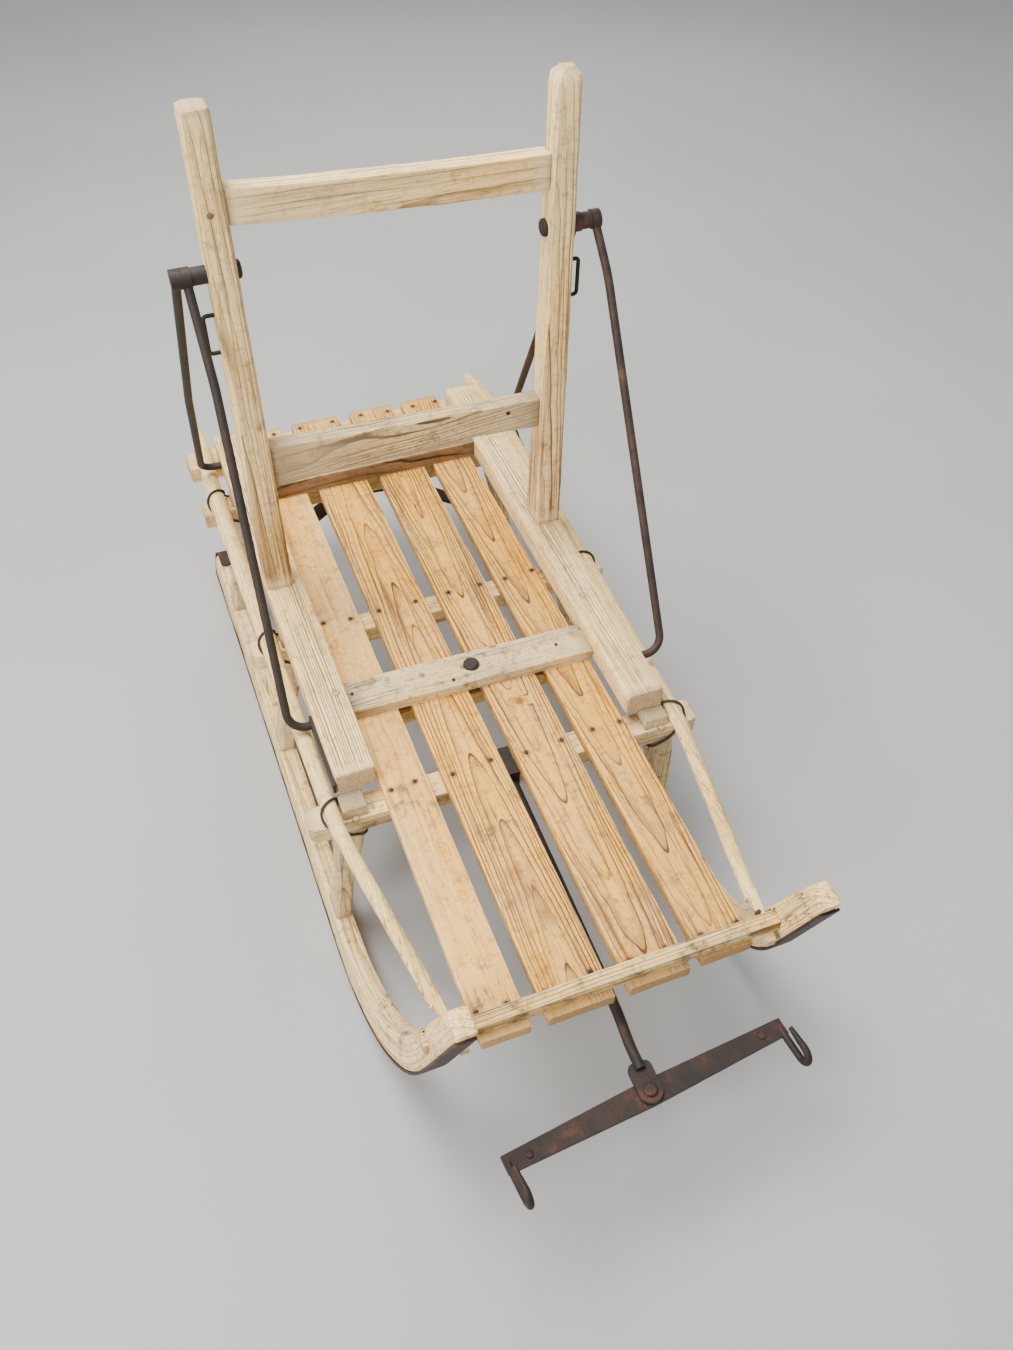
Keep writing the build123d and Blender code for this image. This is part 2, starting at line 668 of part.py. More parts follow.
# Rails between the posts, with a bowed top and underside
for name, rail, thick in (("upper_rail", UPPER_RAIL, UPPER_T), ("lower_rail", LOWER_RAIL, LOWER_T)):
    (left_low, left_high), (mid_low, mid_high), (right_low, right_high) = rail
    low_left = (-post_inner(left_low, POST_LEFT_Z), left_low)
    high_left = (-post_inner(left_high, POST_LEFT_Z), left_high)
    low_right = (post_inner(right_low, POST_RIGHT_Z), right_low)
    high_right = (post_inner(right_high, POST_RIGHT_Z), right_high)
    with BuildPart() as rail_piece:
        with BuildSketch(Plane.XZ.offset(-post_y)):
            with BuildLine():
                ThreePointArc(low_left, (0, mid_low), low_right)
                Line(low_right, high_right)
                ThreePointArc(high_right, (0, mid_high), high_left)
                Line(high_left, low_left)
            make_face()
        extrude(amount=thick / 2, both=True)
    save(rail_piece, name)

# Arched brace from upright to upright, its crown against the rear bolster's underside
face_x = runner_x - WAIST_W / 2


def arch_points(radius):
    turn = radians(ARCH_DEG)
    start_x = radius * sin(turn)
    start_z = BOLSTER_Z - ARCH_R + radius * cos(turn)
    run = (face_x - LEAN * start_z - start_x) / (cos(turn) - LEAN * sin(turn))
    return (start_x, start_z), (start_x + run * cos(turn), start_z - run * sin(turn))


outer_start, outer_end = arch_points(ARCH_R)
inner_start, inner_end = arch_points(ARCH_R - ARCH_T)
tab_low = outer_end[1] - ARCH_TAB
tab_x = ARCH_T * sqrt(1 + LEAN * LEAN)
with BuildPart() as arch:
    with BuildSketch(Plane.XZ.offset(-(rear_y + REAR_W / 2))):
        with BuildLine():
            top = ThreePointArc(
                (-outer_start[0], outer_start[1]), (0, BOLSTER_Z), (outer_start[0], outer_start[1])
            )
            Line(top @ 1, outer_end)
            Line(outer_end, inner_end)
            Line(inner_end, inner_start)
            low = ThreePointArc(
                inner_start, (0, BOLSTER_Z - ARCH_T), (-inner_start[0], inner_start[1])
            )
            Line(low @ 1, (-inner_end[0], inner_end[1]))
            Line((-inner_end[0], inner_end[1]), (-outer_end[0], outer_end[1]))
            Line((-outer_end[0], outer_end[1]), top @ 0)
        make_face()
        for side in (-1, 1):
            with BuildLine():
                Polyline(
                    (side * outer_end[0], outer_end[1]),
                    (side * (face_x - LEAN * tab_low), tab_low),
                    (side * (face_x - LEAN * tab_low - tab_x), tab_low),
                    (side * (outer_end[0] - tab_x), outer_end[1]),
                    close=True,
                )
            make_face()
    extrude(amount=ARCH_W / 2, both=True)
save(arch, "rear_arch_brace")

# Drawbar: strap round the front bolster, rod and flat eye
eye_low_z = BAR_Z + BAR_T / 2 + RUN_GAP
rod_points = [(0, rivet_y + back, eye_low_z + DRAW_R + up) for back, up in DRAW_LINE]
with BuildPart() as drawbar:
    with Locations((0, FRONT_Y + FRONT_W / 2, BOLSTER_Z + BOLSTER_T / 2)):
        Box(DRAW_STRAP_W, FRONT_W + 2 * DRAW_STRAP_T, BOLSTER_T + 2 * DRAW_STRAP_T)
        Box(DRAW_STRAP_W, FRONT_W, BOLSTER_T, mode=Mode.SUBTRACT)
    with BuildLine():
        path = FilletPolyline(
            (0, FRONT_Y - DRAW_STRAP_T / 2, BOLSTER_Z + DRAW_START_UP),
            *rod_points,
            radius=DRAW_BEND,
        )
    with BuildSketch(Plane(origin=path @ 0, z_dir=path % 0)):
        Circle(DRAW_R)
    sweep(path=path)
    with BuildSketch(Plane.XY.offset(eye_low_z)) as plate:
        with Locations((0, rivet_y)):
            Circle(EYE_PLATE_R)
        with Locations((0, rivet_y + EYE_PLATE_L / 2)):
            Rectangle(2 * EYE_PLATE_R, EYE_PLATE_L)
        fillet(plate.vertices().sort_by(Axis.Y)[-2:], EYE_SHOULDER)
    extrude(amount=EYE_PLATE_T)
    with Locations((0, rivet_y, eye_low_z)):
        Cylinder(RIVET_R + FIT, 4 * EYE_PLATE_T, mode=Mode.SUBTRACT)
save(drawbar, "drawbar")

# Rivet that the swingletree turns on
low_z = BAR_Z - BAR_T / 2 - RUN_GAP
with BuildPart() as rivet:
    with BuildSketch(Plane.XY.offset(eye_low_z + EYE_PLATE_T)):
        with Locations((0, rivet_y)):
            Circle(RIVET_HEAD_R)
    extrude(amount=RIVET_HEAD_H)
    fillet(rivet.edges().group_by(Axis.Z)[-1], RIVET_HEAD_H - HEAD_FLAT)
    with BuildSketch(Plane.XY.offset(low_z)):
        with Locations((0, rivet_y)):
            Circle(RIVET_R)
    extrude(amount=eye_low_z + EYE_PLATE_T - low_z)
    with BuildSketch(Plane.XY.offset(low_z)):
        with Locations((0, rivet_y)):
            Circle(RIVET_HEAD_R)
    extrude(amount=-RIVET_HEAD_H)
    chamfer(rivet.edges().group_by(Axis.Z)[0], RIVET_HEAD_H - HEAD_FLAT)
save(rivet, "swingletree_rivet")

# Swingletree: flat tapered bar with a hook at each end
with BuildPart() as tree:
    with BuildSketch(Plane.XY.offset(BAR_Z - BAR_T / 2)):
        with BuildLine():
            Polyline(
                (-BAR_HALF, -BAR_END_W / 2),
                (0, -BAR_MID_W / 2),
                (BAR_HALF, -BAR_END_W / 2),
                (BAR_HALF, BAR_END_W / 2),
                (0, BAR_MID_W / 2),
                (-BAR_HALF, BAR_END_W / 2),
                close=True,
            )
        make_face()
    extrude(amount=BAR_T)
    for side in (-1, 1):
        hook_x = side * (BAR_HALF - HOOK_INSET)
        with BuildLine():
            lower = Line((hook_x, 0, BAR_Z), (hook_x, -HOOK_REACH, BAR_Z))
            turn_up = ThreePointArc(
                lower @ 1,
                (hook_x, -HOOK_REACH - HOOK_RISE, BAR_Z + HOOK_RISE),
                (hook_x, -HOOK_REACH, BAR_Z + 2 * HOOK_RISE),
            )
        with BuildSketch(Plane(origin=lower @ 0, z_dir=lower % 0)):
            Circle(HOOK_R)
        sweep()
        for y, r in ((-HOOK_REACH, HOOK_R), (-HOOK_BACK, HOOK_TIP_R)):
            with BuildSketch(Plane.XZ.offset(-y)):
                with Locations((hook_x, BAR_Z + 2 * HOOK_RISE)):
                    Circle(r)
        loft(ruled=True)
    with Locations((0, 0, BAR_Z)):
        Cylinder(RIVET_R + PIN_GAP, 4 * BAR_T, mode=Mode.SUBTRACT)
tree.part.location = Location((0, rivet_y, 0), (0, 0, BAR_YAW))
save(tree, "swingletree")
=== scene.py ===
# %% [markdown]
# # An old wooden sled
# The solid model gives each piece its place and size. This lesson dresses it. It lights the
# sled softly, gives wood and iron a finish made only of nodes, wears the arrises of the sawn
# pieces, and adds what is too small for the solids: nails, pegs and wire hoops.

from math import atan2, cos, pi, radians, sin
from random import Random

import bpy
from mathutils import Matrix, Vector


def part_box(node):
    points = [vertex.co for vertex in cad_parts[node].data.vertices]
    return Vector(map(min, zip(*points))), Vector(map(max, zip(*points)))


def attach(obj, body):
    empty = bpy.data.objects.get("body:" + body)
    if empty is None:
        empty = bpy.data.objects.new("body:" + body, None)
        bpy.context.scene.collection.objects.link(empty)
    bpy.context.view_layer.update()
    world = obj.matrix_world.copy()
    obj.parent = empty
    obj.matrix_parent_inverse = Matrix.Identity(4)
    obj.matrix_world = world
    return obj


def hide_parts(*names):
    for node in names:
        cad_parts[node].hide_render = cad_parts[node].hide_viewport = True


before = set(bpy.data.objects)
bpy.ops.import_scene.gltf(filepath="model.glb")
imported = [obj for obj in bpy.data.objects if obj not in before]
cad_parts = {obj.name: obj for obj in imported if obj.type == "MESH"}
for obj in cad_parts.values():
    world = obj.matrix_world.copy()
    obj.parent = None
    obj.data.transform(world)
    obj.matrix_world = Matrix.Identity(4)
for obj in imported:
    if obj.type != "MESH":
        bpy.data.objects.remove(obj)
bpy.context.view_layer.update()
MM = 0.001
print("pieces of the solid model:", len(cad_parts))

# %% [markdown]
# ## The camera
# A person held the camera at about 1.9 m, in front of the sled and to its left, and looked
# down at it. The view was solved from the sled's own right angles, so it is a place, three
# angles and a lens. The wide lens is what makes the near end look so large.

# %% Place the camera
EYE = Vector((-0.4560, -1.3214, 1.9000))
TURN, TILT, ROLL = radians(21.87), radians(-48.165), radians(1.172)
FOCUS_PIXELS, LONG_SIDE_PIXELS, SENSOR = 1202.26, 1350, 36.0

ahead = Vector((sin(TURN) * cos(TILT), cos(TURN) * cos(TILT), sin(TILT)))
level = Vector((cos(TURN), -sin(TURN), 0))
raised = level.cross(ahead)
side = cos(ROLL) * level + sin(ROLL) * raised
top = cos(ROLL) * raised - sin(ROLL) * level
bpy.ops.object.camera_add(location=EYE)
camera = bpy.context.object
camera.name = "camera"
camera.rotation_euler = Matrix((side, top, -ahead)).transposed().to_euler()
camera.data.sensor_width = SENSOR
camera.data.lens = FOCUS_PIXELS * SENSOR / LONG_SIDE_PIXELS
bpy.context.scene.camera = camera
print("lens in millimetres:", round(camera.data.lens, 2))

# %% [markdown]
# ## Light
# The sled stood outdoors under a bright, overcast sky, so most of the light falls from above. A
# weak pale sky and one wide lamp overhead give that, and the upright faces stay darker than the
# deck. A smaller lamp at the left brings out the relief, and two weak ones open the shade.

# %% Sky and lamps
SKY_COLOUR, SKY_STRENGTH = (0.88, 0.93, 1.0, 1), 0.55
world = bpy.data.worlds.new("overcast")
bpy.context.scene.world = world
world.use_nodes = True
world.node_tree.nodes["Background"].inputs["Color"].default_value = SKY_COLOUR
world.node_tree.nodes["Background"].inputs["Strength"].default_value = SKY_STRENGTH

# Name, place, watts, size, colour
LAMPS = [
    ("overhead", (-0.9, 0.5, 3.7), 275, 2.0, (1.0, 0.985, 0.96)),
    ("window", (-3.0, -2.0, 2.0), 170, 1.6, (1.0, 0.97, 0.93)),
    ("fill", (2.8, -1.6, 2.2), 32, 2.4, (0.92, 0.96, 1.0)),
    ("rim", (1.2, 3.2, 2.4), 55, 1.8, (1.0, 0.98, 0.95)),
]
middle = Vector((0, 0, 0.4))
for name, place, watts, size, colour in LAMPS:
    bpy.ops.object.light_add(type="AREA", location=place)
    lamp = bpy.context.object
    lamp.name = name
    lamp.data.energy, lamp.data.size, lamp.data.color = watts, size, colour
    lamp.rotation_euler = (middle - Vector(place)).to_track_quat("-Z", "Y").to_euler()
print("lamps:", len(LAMPS))

# %% [markdown]
# ## Sums on surfaces
# A finish is a sum worked out at each point of the surface. Written node by node it is hard to
# read, so one small class lets Python's own signs add the Math nodes, and one method adds any
# other node.

# %% Arithmetic that makes nodes


class Value:
    """A number or a vector that changes over the surface."""

    def __init__(self, finish, socket):
        self.finish, self.socket = finish, socket

    def math(self, operation, *terms):
        return self.finish.node("ShaderNodeMath", {"operation": operation}, dict(enumerate(terms)))

    def __add__(self, other):
        return self.math("ADD", self, other)

    def __sub__(self, other):
        return self.math("SUBTRACT", self, other)

    def __rsub__(self, other):
        return self.math("SUBTRACT", other, self)

    def __mul__(self, other):
        return self.math("MULTIPLY", self, other)

    def __truediv__(self, other):
        return self.math("DIVIDE", self, other)

    __radd__ = __add__
    __rmul__ = __mul__

    def fraction(self):
        return self.math("FRACT", self)

    def whole(self):
        return self.math("FLOOR", self)

    def root(self):
        return self.math("SQRT", self)

    def largest(self, other):
        return self.math("MAXIMUM", self, other)

    def smallest(self, other):
        return self.math("MINIMUM", self, other)

    def size(self):
        return self.math("ABSOLUTE", self)

    def rise(self, low, high):
        """0 below low, 1 above high, and a smooth step between them."""
        sockets = {"Value": self, "From Min": low, "From Max": high}
        return self.finish.node("ShaderNodeMapRange", {"interpolation_type": "SMOOTHSTEP"}, sockets)


class Finish:
    """A material with the Principled shader."""

    def __init__(self, name):
        self.material = bpy.data.materials.new(name)
        self.material.use_nodes = True
        self.tree = self.material.node_tree
        self.shader = self.tree.nodes["Principled BSDF"]

    def put(self, value, socket):
        if isinstance(value, Value):
            self.tree.links.new(value.socket, socket)
        else:
            socket.default_value = value

    def node(self, kind, settings, sockets, output=0):
        made = self.tree.nodes.new(kind)
        for name, setting in settings.items():
            setattr(made, name, setting)
        for key, value in sockets.items():
            self.put(value, made.inputs[key])
        return Value(self, made.outputs[output])

    def place(self):
        return self.node("ShaderNodeTexCoord", {}, {}, "Object")

    def attribute(self, name):
        return self.node("ShaderNodeAttribute", {"attribute_name": name}, {}, "Vector")

    def split(self, vector):
        first = self.node("ShaderNodeSeparateXYZ", {}, {"Vector": vector})
        return [Value(self, socket) for socket in first.socket.node.outputs]

    def join(self, x, y, z):
        return self.node("ShaderNodeCombineXYZ", {}, {"X": x, "Y": y, "Z": z})

    def noise(self, vector, scale=1.0, detail=3.0, roughness=0.5):
        sockets = {"Vector": vector, "Scale": scale, "Detail": detail, "Roughness": roughness}
        return self.node("ShaderNodeTexNoise", {}, sockets)

    def mix(self, first, second, share):
        """A share of the second colour over the first one."""
        sockets = {0: share, 6: first, 7: second}
        return self.node("ShaderNodeMix", {"data_type": "RGBA"}, sockets, 2)

    def distance(self, vector, point):
        sockets = {0: vector, 1: point}
        return self.node("ShaderNodeVectorMath", {"operation": "DISTANCE"}, sockets, "Value")

    def close(self, colour, roughness, height, depth):
        """Joins colour, roughness and relief to the shader."""
        sockets = {"Height": height, "Distance": depth, "Strength": 1.0}
        bump = self.node("ShaderNodeBump", {}, sockets)
        self.put(colour, self.shader.inputs["Base Color"])
        self.put(roughness, self.shader.inputs["Roughness"])
        self.put(bump, self.shader.inputs["Normal"])
        return self.material


def rgb(red, green, blue):
    return (red, green, blue, 1.0)


# %% [markdown]
# ## Wood
# A board shows where the saw passed through the tree's rings. So the finish keeps the rings
# themselves: each board has a pith, the centre line of its tree, somewhere outside it, and the
# distance to that line, counted in rings, gives the grain. Where the pith lies under the board
# the rings run out into pointed arches, and the end grain shows arcs of the same rings. Each
# ring ends in a thin dark line, and no two rings are equally wide or dark. Fine fibres, patches
# of warmer and greyer wood, worn pale arrises, dirt, drying cracks and stains lie over it. On a
# few pieces the dark patches, dark ends and dirt are partly painted shade.

# %% Wood colours
# Spring wood, summer lines, warm patches and weathered wood
TONES = {
    "pale": (
        rgb(0.88, 0.520, 0.140), rgb(0.20, 0.080, 0.022),
        rgb(0.86, 0.410, 0.060), rgb(0.66, 0.420, 0.175),
    ),
    "honey": (
        rgb(0.86, 0.450, 0.072), rgb(0.105, 0.032, 0.007),
        rgb(0.84, 0.370, 0.030), rgb(0.60, 0.355, 0.140),
    ),
    "amber": (
        rgb(0.85, 0.425, 0.055), rgb(0.120, 0.038, 0.007),
        rgb(0.82, 0.345, 0.020), rgb(0.58, 0.335, 0.120),
    ),
    "cream": (
        rgb(0.97, 0.715, 0.305), rgb(0.18, 0.085, 0.028),
        rgb(0.94, 0.585, 0.185), rgb(0.80, 0.580, 0.330),
    ),
    "straw": (
        rgb(0.90, 0.610, 0.215), rgb(0.185, 0.080, 0.020),
        rgb(0.84, 0.480, 0.105), rgb(0.68, 0.475, 0.225),
    ),
    "grey": (
        rgb(0.80, 0.590, 0.285), rgb(0.105, 0.055, 0.020),
        rgb(0.76, 0.480, 0.165), rgb(0.54, 0.420, 0.245),
    ),
    "brown": (
        rgb(0.26, 0.155, 0.068), rgb(0.040, 0.019, 0.009),
        rgb(0.23, 0.120, 0.045), rgb(0.21, 0.145, 0.085),
    ),
}
SOOT = rgb(0.040, 0.026, 0.018)
STAIN = rgb(0.085, 0.038, 0.017)
# Dark grime; on a few pieces the same colour is painted shade.
GRIME_AND_SHADE = rgb(0.125, 0.080, 0.042)
RED_WOOD = rgb(0.25, 0.095, 0.030)
RUBBED_WOOD = rgb(0.90, 0.68, 0.32)

# %% Wood finish
# A grain is a named set of numbers, and these are the usual ones. Lengths are in metres.
USUAL = {
    "lean": 0.02,  # how fast the pith comes nearer along the piece
    "ring": 0.0045,  # width of a ring
    "line": 0.8,  # darkness of the summer lines
    "line_width": 0.0012,
    "sway": 0.030,  # how far the rings wander
    "grey": 0.5,  # share of weathered wood
    # Share of dirt; on the rear uprights it is raised to paint the shade they stand in.
    "dirt": 0.4,
    "cracks": 0.4,
    # How far dirt reaches in from the ends; on the lower rail it reaches far in as painted contact shade by
    # the posts.
    "ends": 0.014,  # how far dirt reaches in from the ends
    "worn": 0.3,  # paleness of the arrises
    "stains": (),  # where iron has bled
    "patches": (),  # place and size of dark patches
    "reddened": (),  # place and size of red patches
    "knots": (),  # place and size of knots
    "browned": (),  # heights between which brown streaks fade out
    "path": False,  # the grain follows the piece's own path
}
# Even noise: scale, detail, roughness
EVEN_NOISE = {
    "broad": (6.0, 4.0, 0.6),
    "specks": (300.0, 2.0, 0.5),
    "blots": (42.0, 5.0, 0.7),
    "mottle": (75.0, 4.0, 0.7),
}
# Noise drawn out along the grain: scale across, scale along, detail, roughness
LONG_NOISE = {
    "patch": (11, 3.2, 4.0, 0.6),
    "bend": (5, 1.7, 2.0, 0.5),
    "ripple": (34, 8, 2.0, 0.5),
    "faded": (26, 2.4, 2.0, 0.5),
    "fibre": (620, 13, 3.0, 0.65),
    "streak": (150, 3.0, 4.0, 0.6),
    "flecks": (330, 34, 2.0, 0.5),
    "check": (58, 1.5, 2.0, 0.4),
}
# Which axes are across, up and along, for each grain axis
ACROSS_UP_RUN = {"X": (1, 2, 0), "Y": (0, 2, 1), "Z": (0, 1, 2)}
RIPPLE = 0.0035  # how far small waves move the rings
RING_SPREAD = 2.4  # how unequal the rings are
SHALLOWEST = 0.16  # the flattest slant at which a line still gets wider
DARKEST_LINE = 0.95
STAIN_REACH = 0.010
WOOD_SHINE, WOOD_RELIEF = 0.22, 0.0013


class Wood(Finish):
    """Sawn wood whose grain runs along an axis, or along its piece's own path."""

    def __init__(self, name, along, low, high, choices):
        super().__init__(name)
        self.grain = {**USUAL, **choices}
        spot = self.place()
        order = ACROSS_UP_RUN[along]
        self.parts = self.split(self.attribute("grain") if self.grain["path"] else spot)
        self.across, self.up, self.run = (self.parts[axis] for axis in order)
        self.half = [(high[axis] - low[axis]) / 2 for axis in order]
        self.from_middle = [self.parts[axis] - (low[axis] + high[axis]) / 2 for axis in order]
        for pattern, numbers in EVEN_NOISE.items():
            setattr(self, pattern, self.noise(spot, *numbers))
        for pattern, numbers in LONG_NOISE.items():
            setattr(self, pattern, self.stretched(*numbers))

    def stretched(self, fine, coarse, detail, roughness):
        """Noise with short features across the grain and long ones along it."""
        drawn_out = self.join(self.across * fine, self.run * coarse, self.up * fine)
        return self.noise(drawn_out, 1.0, detail, roughness)

    def near(self, places, reach, ragged):
        """1 at some places, fading out to 0 at their size."""
        away = None
        for point, size in places:
            gap = self.distance(self.join(*self.parts), point) / size
            away = gap if away is None else away.smallest(gap)
        return 1 - (away + ragged).rise(reach, 1.0)

    def rings(self, pith):
        """The thin summer lines, the soft shade before each line, and the knots."""
        grain = self.grain
        across, up, run = self.from_middle
        sway = (self.bend - 0.5) * grain["sway"] + (self.ripple - 0.5) * RIPPLE
        aside = across - pith[0] + sway
        above = up - pith[1] + run * grain["lean"]
        radius = (aside * aside + above * above).root()
        spread = self.noise(self.join(radius * 60, 0.0, 0.0), 1.0, 1.0)
        count = radius / grain["ring"] + spread * RING_SPREAD
        knots = None
        if grain["knots"]:
            knots = self.near(grain["knots"], 0.0, (self.patch - 0.5) * 1.2)
            count = count + knots * 3.0
        phase = count.fraction()
        dark = self.node(
            "ShaderNodeTexWhiteNoise", {"noise_dimensions": "1D"}, {"W": count.whole()}, "Value"
        )
        slant = (aside.size() / radius).largest(SHALLOWEST)
        to_line = (1 - phase) * grain["ring"] / slant
        width = grain["line_width"]
        drawn = 1 - to_line.rise(width * 0.3, width)
        faded = self.faded.rise(0.30, 0.62)
        lines = (drawn * (0.40 + 0.75 * dark) * (0.45 + 0.75 * faded)) * grain["line"]
        shade = phase.rise(0.30, 1.0) * (0.3 + 0.7 * dark) * faded * grain["line"] * 0.50
        return lines.smallest(DARKEST_LINE), shade, knots

    def cracks(self):
        """Drying cracks along the grain, in some parts of the piece."""
        share = self.grain["cracks"]
        thin = 1 - (self.check - 0.5).size().rise(0.0, 0.005 + 0.007 * share)
        return thin * (1 - self.broad.rise(0.44, 0.60)) * share

    def bare_colour(self, tone, lines, shade):
        """Clean wood, with its lines, fibres and warmer and greyer parts."""
        grain = self.grain
        spring, summer, warm, weathered = TONES[tone]
        colour = self.mix(spring, warm, self.patch.rise(0.46, 0.66) * 0.75)
        colour = self.mix(colour, weathered, (1 - self.patch.rise(0.36, 0.54)) * grain["grey"])
        paler = self.mottle.rise(0.44, 0.62) * (0.25 + 0.35 * grain["grey"])
        colour = self.mix(colour, weathered, paler)
        # The dirt share darkens these mottles; raised on the rear uprights, it also paints shade.
        darker = (1 - self.mottle.rise(0.36, 0.49)) * (0.16 + 0.30 * grain["dirt"])
        colour = self.mix(colour, summer, darker)
        colour = self.mix(colour, summer, shade)
        streaks = self.streak.rise(0.50, 0.72) * (0.30 + 0.34 * grain["line"])
        colour = self.mix(colour, summer, streaks)
        colour = self.mix(colour, summer, self.fibre.rise(0.48, 0.72) * 0.46)
        return self.mix(colour, summer, lines)

    def marked(self, colour, tone, knots):
        """Flecks, dirt, some painted shade and the marks that only this piece has."""
        grain, summer = self.grain, TONES[tone][1]
        flecks = self.flecks.rise(0.62, 0.70) * self.patch.rise(0.40, 0.60)
        colour = self.mix(colour, STAIN, flecks * 0.5)
        # Grime blots follow the dirt share, so on the rear uprights they are partly painted shade.
        colour = self.mix(colour, GRIME_AND_SHADE, self.blots.rise(0.54, 0.68) * grain["dirt"])
        specks = self.specks.rise(0.66, 0.74) * (0.25 + 0.6 * grain["dirt"])
        colour = self.mix(colour, STAIN, specks)
        # Some listed dark patches, at the feet of the posts, are painted contact shade as well as dirt.
        if grain["patches"]:
            ragged = (self.blots * 0.6 + self.streak * 0.4).rise(0.44, 0.60)
            dark = self.near(grain["patches"], 0.2, (self.broad - 0.5) * 1.6) * ragged
            colour = self.mix(colour, GRIME_AND_SHADE, dark * 0.75)
        if grain["reddened"]:
            ragged = self.streak.rise(0.30, 0.52)
            red = self.near(grain["reddened"], 0.1, (self.streak - 0.5) * 1.6) * ragged
            colour = self.mix(colour, RED_WOOD, red * 0.65)
        if grain["browned"]:
            streaked = (self.streak * 0.6 + self.patch * 0.4).rise(0.42, 0.58)
            low_down = 1 - self.run.rise(*grain["browned"])
            colour = self.mix(colour, summer, low_down * streaked * 0.8)
        if knots is not None:
            colour = self.mix(colour, summer, knots.rise(0.45, 0.95) * 0.7)
        return colour

    def worn_down(self, colour, tone, crack):
        """Rubbed arrises, grey and grubby ends (on the lower rail partly painted contact shade), cracks and
        iron stains.
        """
        grain, weathered = self.grain, TONES[tone][3]
        across, up, run = self.from_middle
        if grain["worn"]:
            edge = (self.half[0] - across.size()).largest(self.half[1] - up.size())
            rubbed = 1 - (edge + (self.blots - 0.5) * 0.008).rise(0.0004, 0.0042)
            colour = self.mix(colour, RUBBED_WOOD, rubbed * grain["worn"])
        end = self.half[2] - run.size() + (self.broad - 0.5) * grain["ends"]
        colour = self.mix(colour, weathered, (1 - end.rise(0.0, 3 * grain["ends"])) * 0.6)
        # On the lower rail this dark end reaches far in and is partly painted contact shade where the rail
        # meets the posts.
        colour = self.mix(colour, GRIME_AND_SHADE, (1 - end.rise(0.0, grain["ends"])) * 0.42)
        colour = self.mix(colour, SOOT, crack * 0.85)
        if grain["stains"]:
            stained = [(point, STAIN_REACH) for point in grain["stains"]]
            bled = self.near(stained, 0.25, (self.specks - 0.5) * 0.5)
            colour = self.mix(colour, STAIN, bled * 0.8)
        return colour


def wood(name, along, low, high, pith, tone, **choices):
    """A wood material for a piece with a given box, pith and tone."""
    finish = Wood(name, along, low, high, choices)
    lines, shade, knots = finish.rings(pith)
    crack = finish.cracks()
    colour = finish.bare_colour(tone, lines, shade)
    colour = finish.marked(colour, tone, knots)
    colour = finish.worn_down(colour, tone, crack)
    pits = finish.specks.rise(0.66, 0.74)
    relief = 1 - lines * 0.35 - finish.fibre * 0.30 - crack * 0.9 - pits * 0.3
    finish.shader.inputs["Specular IOR Level"].default_value = WOOD_SHINE
    return finish.close(colour, 0.62 + 0.22 * finish.fibre, relief, WOOD_RELIEF)


# %% [markdown]
# ## Iron
# The smith's pieces are dark and a little rough from the hammer. Rain has turned parts of them
# brown, and in places there is orange-brown rust. Broad and fine noise together decide where
# each lies, and rust is also less metallic and duller than bare iron.

# %% Iron finish
IRON_METAL, IRON_SHINE, IRON_RELIEF = 0.30, 0.32, 0.0011


def iron(name, bare, brown, orange, rust):
    finish = Finish(name)
    place = finish.place()
    broad = finish.noise(place, 24.0, 4.0, 0.6)
    fine = finish.noise(place, 230.0, 4.0, 0.65)
    pits = finish.noise(place, 420.0, 2.0).rise(0.60, 0.72)
    browned = (broad * 0.6 + fine * 0.4).rise(0.40, 0.60)
    rusted = (broad * 0.7 + fine * 0.3).rise(0.54, 0.68) * rust
    colour = finish.mix(finish.mix(bare, brown, browned), orange, rusted)
    colour = finish.mix(colour, SOOT, pits * 0.5)
    finish.put((1 - rusted) * IRON_METAL, finish.shader.inputs["Metallic"])
    finish.shader.inputs["Specular IOR Level"].default_value = IRON_SHINE
    rough = 0.46 + 0.28 * fine + 0.2 * rusted
    return finish.close(colour, rough, broad + fine * 0.6 - pits * 0.3, IRON_RELIEF)


# Name, bare iron, brown iron, rust and the share of rust
IRON_KINDS = [
    ("forged_iron", rgb(0.022, 0.0185, 0.0170), rgb(0.036, 0.0245, 0.0190), rgb(0.075, 0.038, 0.021), 0.35),
    ("brown_iron", rgb(0.024, 0.0175, 0.0150), rgb(0.060, 0.0330, 0.0245), rgb(0.120, 0.050, 0.024), 0.6),
    ("rusty_iron", rgb(0.017, 0.0130, 0.0115), rgb(0.033, 0.0175, 0.0130), rgb(0.115, 0.041, 0.018), 0.55),
]
IRONS = {row[0]: iron(*row) for row in IRON_KINDS}
IRON_NODES = {
    "forged_iron": ["brace_left", "brace_pin_left", "staple_left", "staple_right", "clamp_bolt"],
    "brown_iron": [
        "brace_right", "brace_pin_right", "runner_sole_left", "runner_sole_right", "rear_arch_brace"
    ],
    "rusty_iron": ["drawbar", "swingletree", "swingletree_rivet"],
}


def dress(piece, material):
    piece.data.materials.clear()
    piece.data.materials.append(material)


for name, nodes in IRON_NODES.items():
    for node in nodes:
        dress(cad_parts[node], IRONS[name])
print("iron pieces:", sum(len(nodes) for nodes in IRON_NODES.values()))

# %% [markdown]
# ## The floor
# A large pale sheet, plain so that nothing draws the eye from the sled. A slight unevenness in
# its tone keeps it from looking painted on.

# %% Floor
FLOOR_SIDE = 14
finish = Finish("pale_floor")
cloudy = finish.noise(finish.place(), 1.5, 3.0)
pale = finish.mix(rgb(0.33, 0.33, 0.325), rgb(0.39, 0.39, 0.38), cloudy)
bpy.ops.mesh.primitive_plane_add(size=FLOOR_SIDE)
floor = bpy.context.object
floor.name = "floor"
dress(floor, finish.close(pale, 0.9, cloudy, 0.0))

